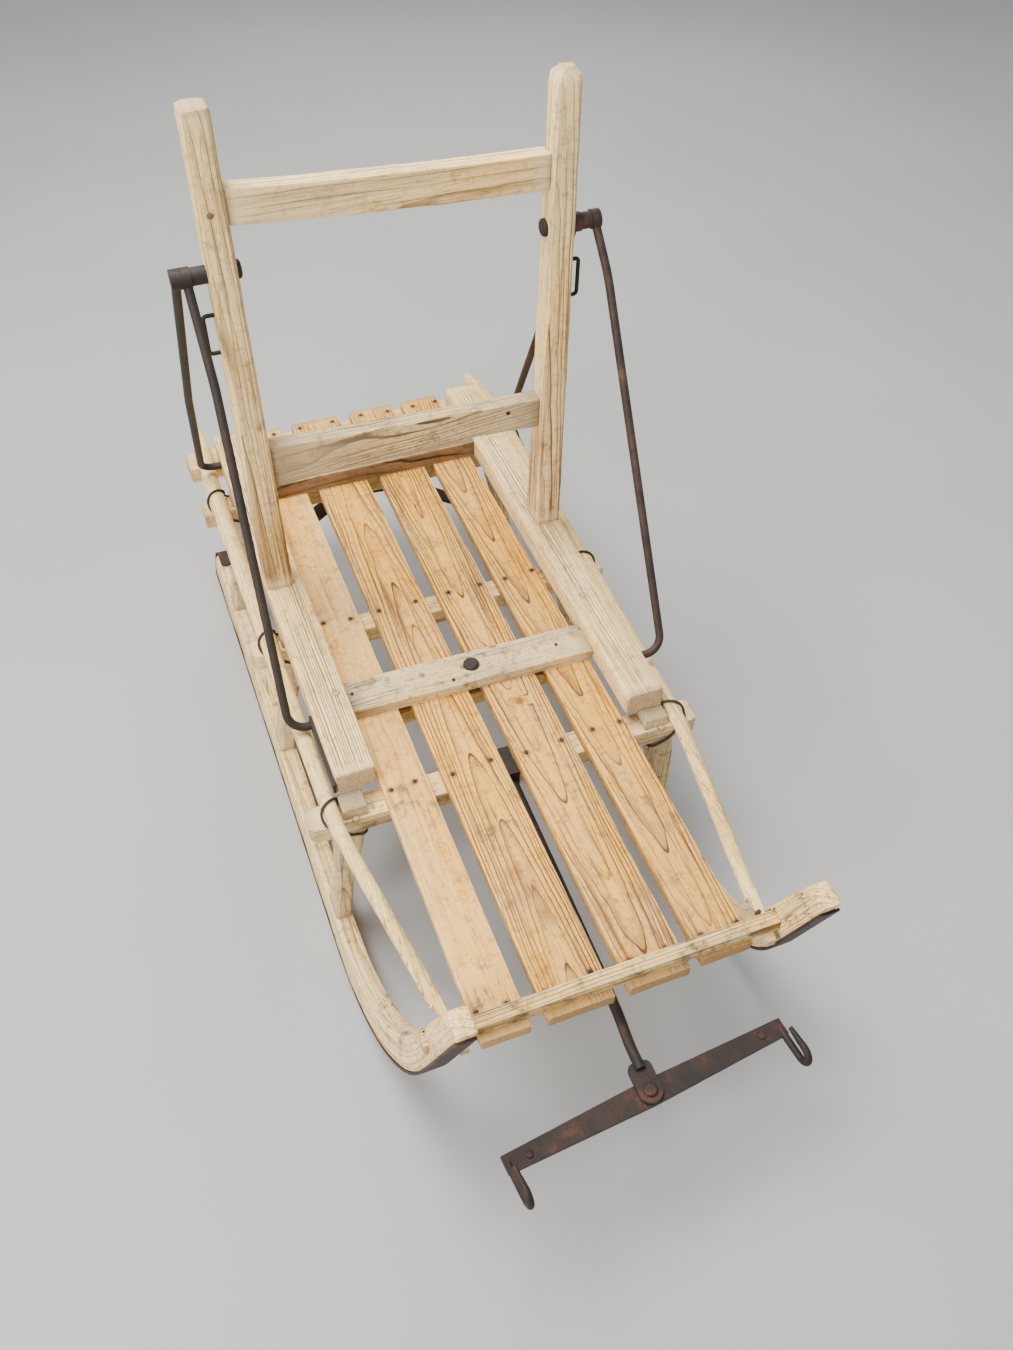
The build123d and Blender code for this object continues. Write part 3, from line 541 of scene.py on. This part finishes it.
# %% [markdown]
# ## Worn copies of the sawn pieces
# The solids have sharp arrises and perfectly flat faces, which no old board has. Each wooden
# piece is copied, its triangles are merged back into faces, its arrises are rounded, and it is
# cut into a fine grid. Three soft cloud patterns then move it: a broad one for the warp of the
# wood, a small one for the marks of axe and plane, and one that mostly eats into the ends, where
# old wood is chipped. The copy then stands for the solid.

# %% Helpers for work in edit mode


def only(piece):
    """Selects one piece and makes it the active one."""
    bpy.ops.object.select_all(action="DESELECT")
    piece.select_set(True)
    bpy.context.view_layer.objects.active = piece


def edit(piece):
    only(piece)
    bpy.ops.object.mode_set(mode="EDIT")
    bpy.ops.mesh.select_mode(type="VERT")
    bpy.ops.mesh.select_all(action="SELECT")


def object_mode():
    bpy.ops.object.mode_set(mode="OBJECT")


AXES = {"X": Vector((1, 0, 0)), "Y": Vector((0, 1, 0)), "Z": Vector((0, 0, 1))}


def cut(node, axis, spacing):
    """Cuts a node's copy, while it is edited, across an axis, about every spacing."""
    low, high = (corner["XYZ".index(axis)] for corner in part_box(node))
    count = max(1, round((high - low) / spacing))
    for number in range(1, count):
        station = low + (high - low) * number / count
        bpy.ops.mesh.select_all(action="SELECT")
        bpy.ops.mesh.bisect(plane_co=AXES[axis] * station, plane_no=AXES[axis])


def uneven(piece, name, size, strength, middle, group=""):
    """Moves a piece's surface in and out by a cloud pattern."""
    cloud = bpy.data.textures.new(name, "CLOUDS")
    cloud.noise_scale = size
    wave = piece.modifiers.new(name, "DISPLACE")
    wave.texture, wave.strength, wave.mid_level = cloud, strength, middle
    wave.texture_coords, wave.vertex_group = "LOCAL", group
    only(piece)
    bpy.ops.object.modifier_apply(modifier=name)


def mark_ends(piece, axis, reach):
    """Names the points near a piece's two ends, strongest at the ends themselves."""
    group = piece.vertex_groups.new(name="ends")
    index = "XYZ".index(axis)
    stations = [vertex.co[index] for vertex in piece.data.vertices]
    low, high = min(stations), max(stations)
    for vertex, station in zip(piece.data.vertices, stations):
        gap = min(station - low, high - station)
        if gap < reach:
            group.add([vertex.index], 1 - gap / reach, "REPLACE")


MERGE, FLAT, SHARP, SMOOTH = 0.00002, radians(0.6), radians(33), radians(40)
END_REACH = 0.012
# Cloud sizes of the warp, the tool marks and the chips, and the share of the marks in the warp
WARP_SIZE, MARK_SIZE, CHIP_SIZE, MARK_SHARE = 0.07, 0.011, 0.009, 0.35
CHIP_LEVEL = 0.85


def worn(node, arris, waves, cuts, along, chip):
    """A copy of a wooden piece with rounded arrises, uneven faces and chipped ends."""
    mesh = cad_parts[node].data.copy()
    piece = bpy.data.objects.new("worn_" + node, mesh)
    bpy.context.scene.collection.objects.link(piece)
    edit(piece)
    bpy.ops.mesh.customdata_custom_splitnormals_clear()
    bpy.ops.mesh.remove_doubles(threshold=MERGE)
    bpy.ops.mesh.dissolve_limited(angle_limit=FLAT)
    bpy.ops.mesh.select_mode(type="EDGE")
    bpy.ops.mesh.select_all(action="DESELECT")
    bpy.ops.mesh.edges_select_sharp(sharpness=SHARP)
    bpy.ops.mesh.bevel(offset=arris, segments=2, clamp_overlap=True)
    for axis, spacing in cuts:
        cut(node, axis, spacing)
    object_mode()
    mark_ends(piece, along, END_REACH)
    uneven(piece, "warp", WARP_SIZE, waves, 0.5)
    uneven(piece, "tool_marks", MARK_SIZE, waves * MARK_SHARE, 0.5)
    uneven(piece, "chipped_ends", CHIP_SIZE, chip, CHIP_LEVEL, "ends")
    bpy.ops.object.shade_smooth_by_angle(angle=SMOOTH)
    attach(piece, "sled")
    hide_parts(node)
    return piece


# %% [markdown]
# ## Where the nails are
# The slats are nailed to each bolster and to the front crossbar, two nails to a slat. The iron
# has bled into the wood round each head, so the same places feed the stains of the slats.

# %% Nail places
DECK_Z, BEAM_TOP_Z, BOLSTER_TOP_Z = 0.352, 0.396, 0.330
STRAY_X, STRAY_Y = 0.004, 0.005  # how far a nail strays from its place
# Slat, and where its two nails are across the sled
NAIL_COLUMNS = [
    ("slat_1", (-0.203, -0.156)),
    ("slat_2", (-0.098, -0.031)),
    ("slat_3", (0.031, 0.090)),
    ("slat_4", (0.147, 0.202)),
]
NAIL_ROWS = [-0.605, -0.201, 0.193, 0.604, 0.764]
chance = Random(11)
slat_nails = {
    slat: [
        (x + chance.uniform(-STRAY_X, STRAY_X), y + chance.uniform(-STRAY_Y, STRAY_Y), DECK_Z)
        for x in columns
        for y in NAIL_ROWS
    ]
    for slat, columns in NAIL_COLUMNS
}
print("nails in the deck:", sum(len(places) for places in slat_nails.values()))

# %% [markdown]
# ## Every wooden piece
# One table gives each piece its grain and wear. The pith is how far the tree's centre lies from
# the piece's middle, across and up, and the lean is how fast it comes nearer along the piece.
# A pith right under a board gives arches, and one far to the side gives straight lines. Then
# come the marks that only this piece has: dark patches, red patches, brown feet, iron stains
# and knots. The dark patches at the posts' feet and the long dark ends of the lower rail are
# partly painted contact shade, and the rear uprights' extra dirt is painted shade. Poles,
# uprights and beams wear alike, so each kind shares a named set of choices.

# %% Table of the wooden pieces
WAVES = 0.0018
POLE = {"ring": 0.0024, "line": 0.65, "worn": 0.0, "sway": 0.02, "cracks": 0.3, "grey": 0.25}
UPRIGHT = {"dirt": 0.6, "worn": 0.0}
BEAM = {"lean": 0.003, "line": 1.4, "sway": 0.010, "grey": 0.35, "cracks": 0.5}
# Node, grain axis, pith across and up in mm, tone, arris in mm, chipping in mm, other choices
WOODS = [
    ("slat_1", "Y", (70, -190), "pale", 2.0, 2.5, {
        "lean": 0.012, "ring": 0.009, "line": 0.30, "sway": 0.05, "grey": 0.6, "dirt": 0.45, "cracks": 0.1,
        "patches": [((-0.182, -0.228, 0.352), 0.040), ((-0.150, -0.262, 0.352), 0.026),
                    ((-0.190, -0.590, 0.352), 0.030), ((-0.165, -0.540, 0.352), 0.018)]}),
    ("slat_2", "Y", (6, -44), "honey", 1.6, 2.0, {
        "lean": 0.024, "ring": 0.0036, "line": 1.45, "line_width": 0.0018,
        "reddened": [((-0.072, -0.415, 0.352), 0.030), ((-0.063, -0.450, 0.352), 0.036),
                     ((-0.056, -0.495, 0.352), 0.032)],
        "patches": [((-0.082, -0.330, 0.352), 0.022), ((-0.050, -0.330, 0.352), 0.016)],
        "dirt": 0.5}),
    ("slat_3", "Y", (-8, -42), "honey", 1.6, 2.0, {
        "lean": -0.026, "ring": 0.0034, "line": 1.6, "line_width": 0.0019, "grey": 0.7,
        "patches": [((0.060, -0.300, 0.352), 0.030)],
        "knots": [((0.059, -0.098, 0.352), 0.022)], "dirt": 0.5}),
    ("slat_4", "Y", (-8, -44), "amber", 1.8, 3.0, {
        "lean": -0.024, "ring": 0.0036, "line": 1.45, "line_width": 0.0018,
        "patches": [((0.184, -0.405, 0.352), 0.022), ((0.165, -0.360, 0.352), 0.020)],
        "dirt": 0.5}),
    ("beam_left", "Y", (-120, -50), "cream", 3.0, 5.0, {
        **BEAM, "ring": 0.0042, "line_width": 0.0016, "dirt": 0.4, "ends": 0.010,
        "stains": [(-0.2340, -0.0120, BEAM_TOP_Z)]}),
    ("beam_right", "Y", (-75, -45), "cream", 2.2, 4.0, {
        **BEAM, "ring": 0.0038, "line_width": 0.0015, "dirt": 0.35, "ends": 0.016,
        "stains": [(0.2420, 0.0590, BEAM_TOP_Z)]}),
    # The lowest dark patch on each post, at its foot by the beam, is partly dirt and partly painted contact
    # shade.
    ("post_left", "Z", (-26, -60), "cream", 2.4, 2.0, {
        "lean": 0.012, "ring": 0.0060, "line": 1.1, "line_width": 0.0014, "sway": 0.016,
        "worn": 0.0, "dirt": 0.35, "browned": (0.40, 0.68), "grey": 0.45,
        "patches": [((-0.243, 0.268, 0.60), 0.030), ((-0.243, 0.268, 0.85), 0.020),
                    ((-0.245, 0.268, 0.74), 0.016), ((-0.262, 0.262, 0.43), 0.030)]}),
    ("post_right", "Z", (-22, -56), "cream", 3.0, 2.0, {
        "lean": 0.016, "ring": 0.0058, "line": 1.2, "line_width": 0.0015, "sway": 0.020,
        "worn": 0.0, "dirt": 0.35, "browned": (0.40, 0.76), "grey": 0.4,
        "patches": [((0.262, 0.262, 0.43), 0.035), ((0.250, 0.262, 0.58), 0.022)]}),
    ("upper_rail", "X", (-60, -24), "cream", 2.2, 1.0, {
        "lean": 0.040, "ring": 0.0085, "line": 0.7, "line_width": 0.0014,
        "worn": 0.0, "dirt": 0.25, "grey": 0.6}),
    # Its long dark ends, where it meets the posts, are partly grime and partly painted contact shade.
    ("lower_rail", "X", (-60, 26), "grey", 2.6, 1.0, {
        "lean": -0.085, "ring": 0.0044, "line": 1.5, "line_width": 0.0018, "sway": 0.050,
        "worn": 0.0, "dirt": 0.7, "grey": 0.8, "ends": 0.075}),
    ("cross_board", "X", (30, -90), "grey", 2.4, 3.5, {
        "lean": 0.006, "ring": 0.0050, "line": 0.65, "dirt": 0.95, "grey": 0.95, "cracks": 1.0,
        "ends": 0.030,
        "patches": [((-0.195, 0.004, 0.372), 0.045), ((-0.150, -0.020, 0.372), 0.030),
                    ((-0.090, 0.004, 0.372), 0.022), ((-0.060, -0.030, 0.372), 0.024),
                    ((0.030, 0.012, 0.372), 0.014), ((0.205, 0.006, 0.372), 0.022),
                    ((-0.010, -0.030, 0.372), 0.012)],
        "knots": [((0.196, 0.000, 0.372), 0.018)]}),
    ("rear_cross_rail", "X", (-90, 14), "brown", 2.0, 1.0, {
        "lean": 0.012, "ring": 0.0042, "line": 1.0, "line_width": 0.0014, "dirt": 0.5, "cracks": 0.7}),
    ("bolster_front", "X", (-60, -70), "cream", 3.5, 4.0, {
        "line": 0.8, "dirt": 0.7, "grey": 0.9, "cracks": 0.9, "ends": 0.03,
        "stains": [(-0.265, -0.220, BOLSTER_TOP_Z), (0.270, -0.220, BOLSTER_TOP_Z)]}),
    ("bolster_middle", "X", (50, -80), "cream", 3.5, 4.0, {
        "line": 0.6, "dirt": 0.6, "grey": 0.7, "cracks": 0.7}),
    ("bolster_rear", "X", (-50, -60), "straw", 3.5, 4.0, {
        "line": 0.7, "dirt": 0.6, "grey": 0.6, "cracks": 0.7}),
    ("bolster_tail", "X", (-40, -70), "straw", 2.8, 3.0, {"line": 0.6, "dirt": 0.5, "grey": 0.7}),
    ("under_batten", "X", (10, 90), "straw", 1.8, 1.5, {"line": 0.6, "dirt": 0.5}),
    ("front_crossbar", "X", (-100, 20), "straw", 2.4, 2.0, {
        "ring": 0.0046, "line": 1.3, "dirt": 0.7, "grey": 0.9, "cracks": 1.0, "ends": 0.003,
        "patches": [((-0.14, -0.636, 0.362), 0.045), ((-0.06, -0.636, 0.360), 0.040),
                    ((0.02, -0.636, 0.362), 0.050), ((0.11, -0.636, 0.360), 0.050),
                    ((0.19, -0.636, 0.362), 0.045), ((-0.21, -0.636, 0.362), 0.030)]}),
    ("side_pole_left", "Y", (3, -2), "cream", 0.8, 1.0, {
        **POLE, "lean": 0.008, "dirt": 0.35,
        "patches": [((-0.276, -0.378, 0.352), 0.014), ((-0.296, -0.26, 0.352), 0.010)]}),
    ("side_pole_right", "Y", (-2, -3), "cream", 0.8, 1.0, {**POLE, "lean": 0.010, "dirt": 0.3}),
    ("upright_front_left", "Z", (-20, -50), "grey", 1.6, 1.0, {
        **UPRIGHT, "patches": [((-0.303, -0.221, 0.160), 0.034), ((-0.304, -0.218, 0.200), 0.020)]}),
    ("upright_front_right", "Z", (30, -50), "grey", 1.6, 1.0, UPRIGHT),
    ("upright_middle_left", "Z", (-30, 50), "grey", 1.6, 1.0, UPRIGHT),
    ("upright_middle_right", "Z", (20, -45), "grey", 1.6, 1.0, UPRIGHT),
    # The rear uprights' raised dirt share is painted shade: they stand in shadow behind the poles.
    ("upright_rear_left", "Z", (-20, 60), "grey", 1.6, 1.0, {**UPRIGHT, "dirt": 0.9}),
    ("upright_rear_right", "Z", (25, -50), "grey", 1.6, 1.0, {**UPRIGHT, "dirt": 0.9}),
]
# How fine the grid of a copy is, for each grain axis
CUTS = {
    "X": [("X", 0.020), ("Y", 0.012), ("Z", 0.012)],
    "Y": [("Y", 0.020), ("X", 0.013), ("Z", 0.011)],
    "Z": [("Z", 0.022), ("X", 0.013), ("Y", 0.013)],
}
for node, along, pith, tone, arris, chip, choices in WOODS:
    low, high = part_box(node)
    piece = worn(node, arris * MM, WAVES, CUTS[along], along, chip * MM)
    pith_m = (pith[0] * MM, pith[1] * MM)
    choices = {"stains": slat_nails.get(node, ()), **choices}
    dress(piece, wood("wood_" + node, along, low, high, pith_m, tone, **choices))
print("worn wooden pieces:", len(WOODS))

# %% [markdown]
# ## The runners
# A runner was sawn from a tree that grew with a bend, so its grain follows the curve up to the
# nose. The copy keeps, at each point, how far along the runner it lies and how high above the
# sole, and the wood finish reads those instead of the plain coordinates.

# %% Runners with grain along their curve
# Where the curve starts, its radius and how far it turns
CURVE_Y, CURVE_R, CURVE_TURN = -0.222, 0.438, radians(70.6)
RUNNER_LEAN = 0.14
RUNNER_ARRIS, RUNNER_CHIP, RUNNER_WAVES = 5.5 * MM, 3.5 * MM, 0.0026
RUNNER_CUTS = [("Y", 0.024), ("Z", 0.024), ("X", 0.014)]
RUNNER_GRAIN = {"ring": 0.0062, "line": 0.9, "dirt": 0.6, "grey": 0.9, "cracks": 0.9, "lean": 0.01}


def along_runner(point):
    """Distance round the tree, along the runner and above the sole."""
    across = abs(point.x) + RUNNER_LEAN * point.z
    if point.y > CURVE_Y:
        return across, point.y, point.z
    back, down = CURVE_Y - point.y, CURVE_R - point.z
    turn = atan2(back, down)
    if turn < CURVE_TURN:
        return across, CURVE_Y - CURVE_R * turn, CURVE_R - (back**2 + down**2) ** 0.5
    out = back * sin(CURVE_TURN) + down * cos(CURVE_TURN)
    climb = back * cos(CURVE_TURN) - down * sin(CURVE_TURN)
    return across, CURVE_Y - CURVE_R * CURVE_TURN - climb, CURVE_R - out


# Lowest and highest across, along and up in the runner's own path
PATH_LOW, PATH_HIGH = (0.299, -1.10, 0.004), (0.333, 0.776, 0.055)
RUNNER_MARKS = {
    "left": [((0.310, -0.660, 0.055), 0.045), ((0.330, -0.12, 0.055), 0.020),
             ((0.316, -0.97, 0.050), 0.030)],
    "right": [((0.316, -0.95, 0.050), 0.030)],
}
for name, pith in (("left", (0.05, -0.12)), ("right", (-0.04, -0.11))):
    node = "runner_" + name
    piece = worn(node, RUNNER_ARRIS, RUNNER_WAVES, RUNNER_CUTS, "Z", RUNNER_CHIP)
    grain = piece.data.attributes.new("grain", "FLOAT_VECTOR", "POINT")
    for vertex in piece.data.vertices:
        grain.data[vertex.index].vector = along_runner(vertex.co)
    choices = {**RUNNER_GRAIN, "patches": RUNNER_MARKS[name], "path": True}
    dress(piece, wood("wood_" + node, "Y", PATH_LOW, PATH_HIGH, pith, "cream", **choices))
print("runners:", len(RUNNER_MARKS))

# %% [markdown]
# ## Nails
# A hand-made nail has a small, slightly domed, uneven head. One is made from a short cylinder
# whose top is drawn in and raised, and copies of it are turned and tipped a little and driven
# almost flush.

# %% Nail heads
UPWARDS, FORWARDS = (0, 0, 1), (0, -1, 0)
NAIL_SIDES, NAIL_DEPTH, DECK_NAIL = 9, 0.003, 0.0033
TIP = 0.12  # how far a nail may lean, in radians
# How far each ring of the head is drawn in, as a share of its radius, and raised
DOME = [(0.30, 0.0006), (0.45, 0.0004)]


def finish_piece(piece, body, material):
    """Puts a piece's place into its mesh, dresses it and lets it ride on its body."""
    only(piece)
    bpy.ops.object.transform_apply(location=True, rotation=True, scale=True)
    bpy.ops.object.shade_smooth_by_angle(angle=SMOOTH)
    dress(piece, material)
    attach(piece, body)
    return piece


def nail_head(radius):
    """A short cylinder whose top is drawn in and raised."""
    bpy.ops.object.select_all(action="DESELECT")
    bpy.ops.mesh.primitive_cylinder_add(vertices=NAIL_SIDES, radius=radius, depth=NAIL_DEPTH)
    head = bpy.context.object
    edit(head)
    bpy.ops.mesh.select_mode(type="FACE")
    bpy.ops.mesh.select_all(action="DESELECT")
    object_mode()
    for face in head.data.polygons:
        face.select = face.normal.z > 0.9
    bpy.ops.object.mode_set(mode="EDIT")
    for shrink, lift in DOME:
        bpy.ops.mesh.inset(thickness=radius * shrink)
        bpy.ops.transform.translate(value=(0, 0, lift))
    object_mode()
    return head


def drive(name, places, radius, face=UPWARDS):
    """Copies one nail head to many places on a face and joins the copies."""
    head = nail_head(radius)
    turned = Vector(face).to_track_quat("Z", "Y")
    copies = []
    for place in places:
        copy = head.copy()
        copy.data = head.data.copy()
        bpy.context.scene.collection.objects.link(copy)
        tip = Matrix.Rotation(chance.uniform(-TIP, TIP), 4, "X")
        spin = Matrix.Rotation(chance.uniform(0, 2 * pi), 4, "Z")
        copy.matrix_world = Matrix.Translation(place) @ turned.to_matrix().to_4x4() @ tip @ spin
        copies.append(copy)
    bpy.data.objects.remove(head)
    bpy.ops.object.select_all(action="DESELECT")
    for copy in copies:
        copy.select_set(True)
    bpy.context.view_layer.objects.active = copies[0]
    bpy.ops.object.join()
    copies[0].name = name
    return finish_piece(copies[0], "sled", IRONS["brown_iron"])


for slat, places in slat_nails.items():
    drive("nails_" + slat, places, DECK_NAIL)

# %% [markdown]
# ## Wire hoops
# Soft iron wire ties each round pole down to a bolster. It runs over the pole, down across the
# bolster's front, round the upright below it and up behind. A Bezier curve goes through every
# point that it is given, so its points are where the wire touches wood, and a round section
# makes it solid before it is turned into a mesh.

# %% Wire hoops
WIRE = 0.0023
POLE_SEAT_Z = 0.329
UPRIGHT_IN, UPRIGHT_TOP = 0.2475, 0.2925


def hoop(name, side, front, depth, pole_x, pole_r):
    """A loop of wire over a pole and round an upright, seen from the sled's middle outwards."""
    rear = front + depth
    pole_z = POLE_SEAT_Z + pole_r
    reach = pole_r + WIRE
    # Distance out from the sled's middle, along, up
    points = [
        (pole_x - 0.1 * reach, front + depth * 0.62, pole_z + reach),
        (pole_x + 0.72 * reach, front + depth * 0.46, pole_z + 0.72 * reach),
        (pole_x + 0.99 * reach, front + depth * 0.24, pole_z),
        (pole_x + 0.66 * reach, front - 0.0005, 0.3335),
        (pole_x - 0.25 * reach, front - 0.0034, 0.318),
        (0.284, front - 0.0034, 0.303),
        (0.268, front - 0.0034, 0.2955),
        (0.253, front - 0.002, UPRIGHT_TOP),
        (UPRIGHT_IN, front + 0.009, UPRIGHT_TOP - 0.001),
        (UPRIGHT_IN, rear - 0.012, UPRIGHT_TOP - 0.001),
        (0.252, rear - 0.002, UPRIGHT_TOP + 0.002),
        (0.264, rear + 0.0032, 0.306),
        (0.277, rear + 0.0032, 0.325),
        (pole_x - 0.98 * reach, rear - 0.003, 0.338),
        (pole_x - 0.88 * reach, rear - 0.010, pole_z + 0.5 * reach),
    ]
    bpy.ops.curve.primitive_bezier_circle_add()
    loop = bpy.context.object
    loop.name = name
    spline = loop.data.splines[0]
    spline.bezier_points.add(len(points) - len(spline.bezier_points))
    for point, (out, along, up) in zip(spline.bezier_points, points):
        point.co = (side * out, along, up)
        point.handle_left_type = point.handle_right_type = "AUTO"
    spline.resolution_u = 5
    loop.data.bevel_depth, loop.data.bevel_resolution = WIRE, 3
    only(loop)
    bpy.ops.object.convert(target="MESH")
    return finish_piece(bpy.context.object, "sled", IRONS["brown_iron"])


# Name, side, bolster's front face and depth, pole's distance out and radius there
HOOPS = [
    ("hoop_front_left", -1, -0.221, 0.047, 0.3005, 0.0132),
    ("hoop_front_right", 1, -0.221, 0.047, 0.3005, 0.0132),
    ("hoop_middle_left", -1, 0.175, 0.041, 0.3060, 0.0151),
    ("hoop_middle_right", 1, 0.175, 0.041, 0.3060, 0.0151),
    ("hoop_rear_left", -1, 0.584, 0.042, 0.3100, 0.0165),
    ("hoop_rear_right", 1, 0.584, 0.042, 0.3100, 0.0165),
]
for row in HOOPS:
    hoop(*row)
print("wire hoops:", len(HOOPS))

# %% [markdown]
# ## Pegs and the other nails
# Square pegs stand beside the front tenons, round plugs sit in the beams, a draw peg holds the
# upper rail in the left post, and odd nails hold the right pole, the crossbar, the board and the
# lower rail. A peg starts as a cylinder of a few sides and has its edges bevelled. The same shape
# in iron makes the two rivets at the swingletree's ends, which turn with it.

# %% Pegs, plugs, rivets and odd nails
PEG_BEVEL = 0.22  # as a share of the radius


def peg(name, place, radius, sides, height, face, turn, material, slot, body="sled"):
    """A short peg whose top stands proud of a face."""
    bpy.ops.object.select_all(action="DESELECT")
    bpy.ops.mesh.primitive_cylinder_add(vertices=sides, radius=radius, depth=2 * height)
    piece = bpy.context.object
    piece.name = name
    edit(piece)
    bpy.ops.mesh.bevel(offset=radius * PEG_BEVEL, segments=2)
    object_mode()
    turned = Vector(face).to_track_quat("Z", "Y").to_matrix().to_4x4()
    piece.matrix_world = Matrix.Translation(place) @ turned @ Matrix.Rotation(turn, 4, "Z")
    return finish_piece(piece, body, material)


PEG_GRAIN = {"worn": 0.0, "ring": 0.002}
peg_wood = wood(
    "wood_pegs", "Z", (-0.3, -0.3, 0.3), (0.3, 0.8, 1.2), (0.31, 0.02), "grey",
    line=0.7, grey=0.9, dirt=0.8, **PEG_GRAIN
)
dark_peg = wood(
    "wood_draw_peg", "Y", (-0.3, 0.2, 1.0), (-0.2, 0.3, 1.2), (0.02, 0.02), "brown", **PEG_GRAIN
)
# Name, place, radius, sides, height, the face it stands on, turn, material, slot
PEGS = [
    ("peg_front_left", (-0.2650, -0.2200, BOLSTER_TOP_Z), 0.0062, 4, 0.0035, UPWARDS, 0.75,
     peg_wood, "bolster_wood"),
    ("peg_front_right", (0.2700, -0.2200, BOLSTER_TOP_Z), 0.0062, 4, 0.0035, UPWARDS, 0.95,
     peg_wood, "bolster_wood"),
    ("plug_beam_left", (-0.2340, -0.0120, BEAM_TOP_Z), 0.0046, 9, 0.0006, UPWARDS, 0.2,
     peg_wood, "frame_wood"),
    ("plug_beam_right", (0.2420, 0.0590, BEAM_TOP_Z), 0.0046, 9, 0.0006, UPWARDS, 0.1,
     peg_wood, "frame_wood"),
    ("draw_peg", (-0.2650, 0.2690, 1.094), 0.0050, 8, 0.0022, FORWARDS, 0.3,
     dark_peg, "frame_wood"),
]
for row in PEGS:
    peg(*row)

# Name, places, radius, the face they are in
ODD_NAILS = [
    ("nail_pole_right", [(0.238, -0.604, 0.3525)], 0.0045, UPWARDS),
    ("nails_crossbar", [(0.230, -0.613, 0.3765), (-0.246, -0.612, 0.3765)], 0.0035, UPWARDS),
    ("nail_lower_rail", [(0.177, 0.2735, 0.659)], 0.0036, FORWARDS),
    ("nails_board", [(-0.205, -0.002, 0.3725), (0.160, -0.016, 0.3725), (-0.035, -0.032, 0.3725)],
     0.0030, UPWARDS),
]
for name, places, radius, face in ODD_NAILS:
    drive(name, places, radius, face)

RIVET_R, RIVET_SIDES, RIVET_PROUD = 0.0060, 12, 0.0022
RIVETS = [("rivet_left", (-0.1900, -0.7785, 0.2540)), ("rivet_right", (0.1890, -0.7395, 0.2540))]
rusty = IRONS["rusty_iron"]
for name, place in RIVETS:
    peg(name, place, RIVET_R, RIVET_SIDES, RIVET_PROUD, UPWARDS, 0.0, rusty, "rusty_iron", "swingletree")
print("pegs, rivets and odd nails:", len(PEGS) + len(RIVETS) + len(ODD_NAILS))
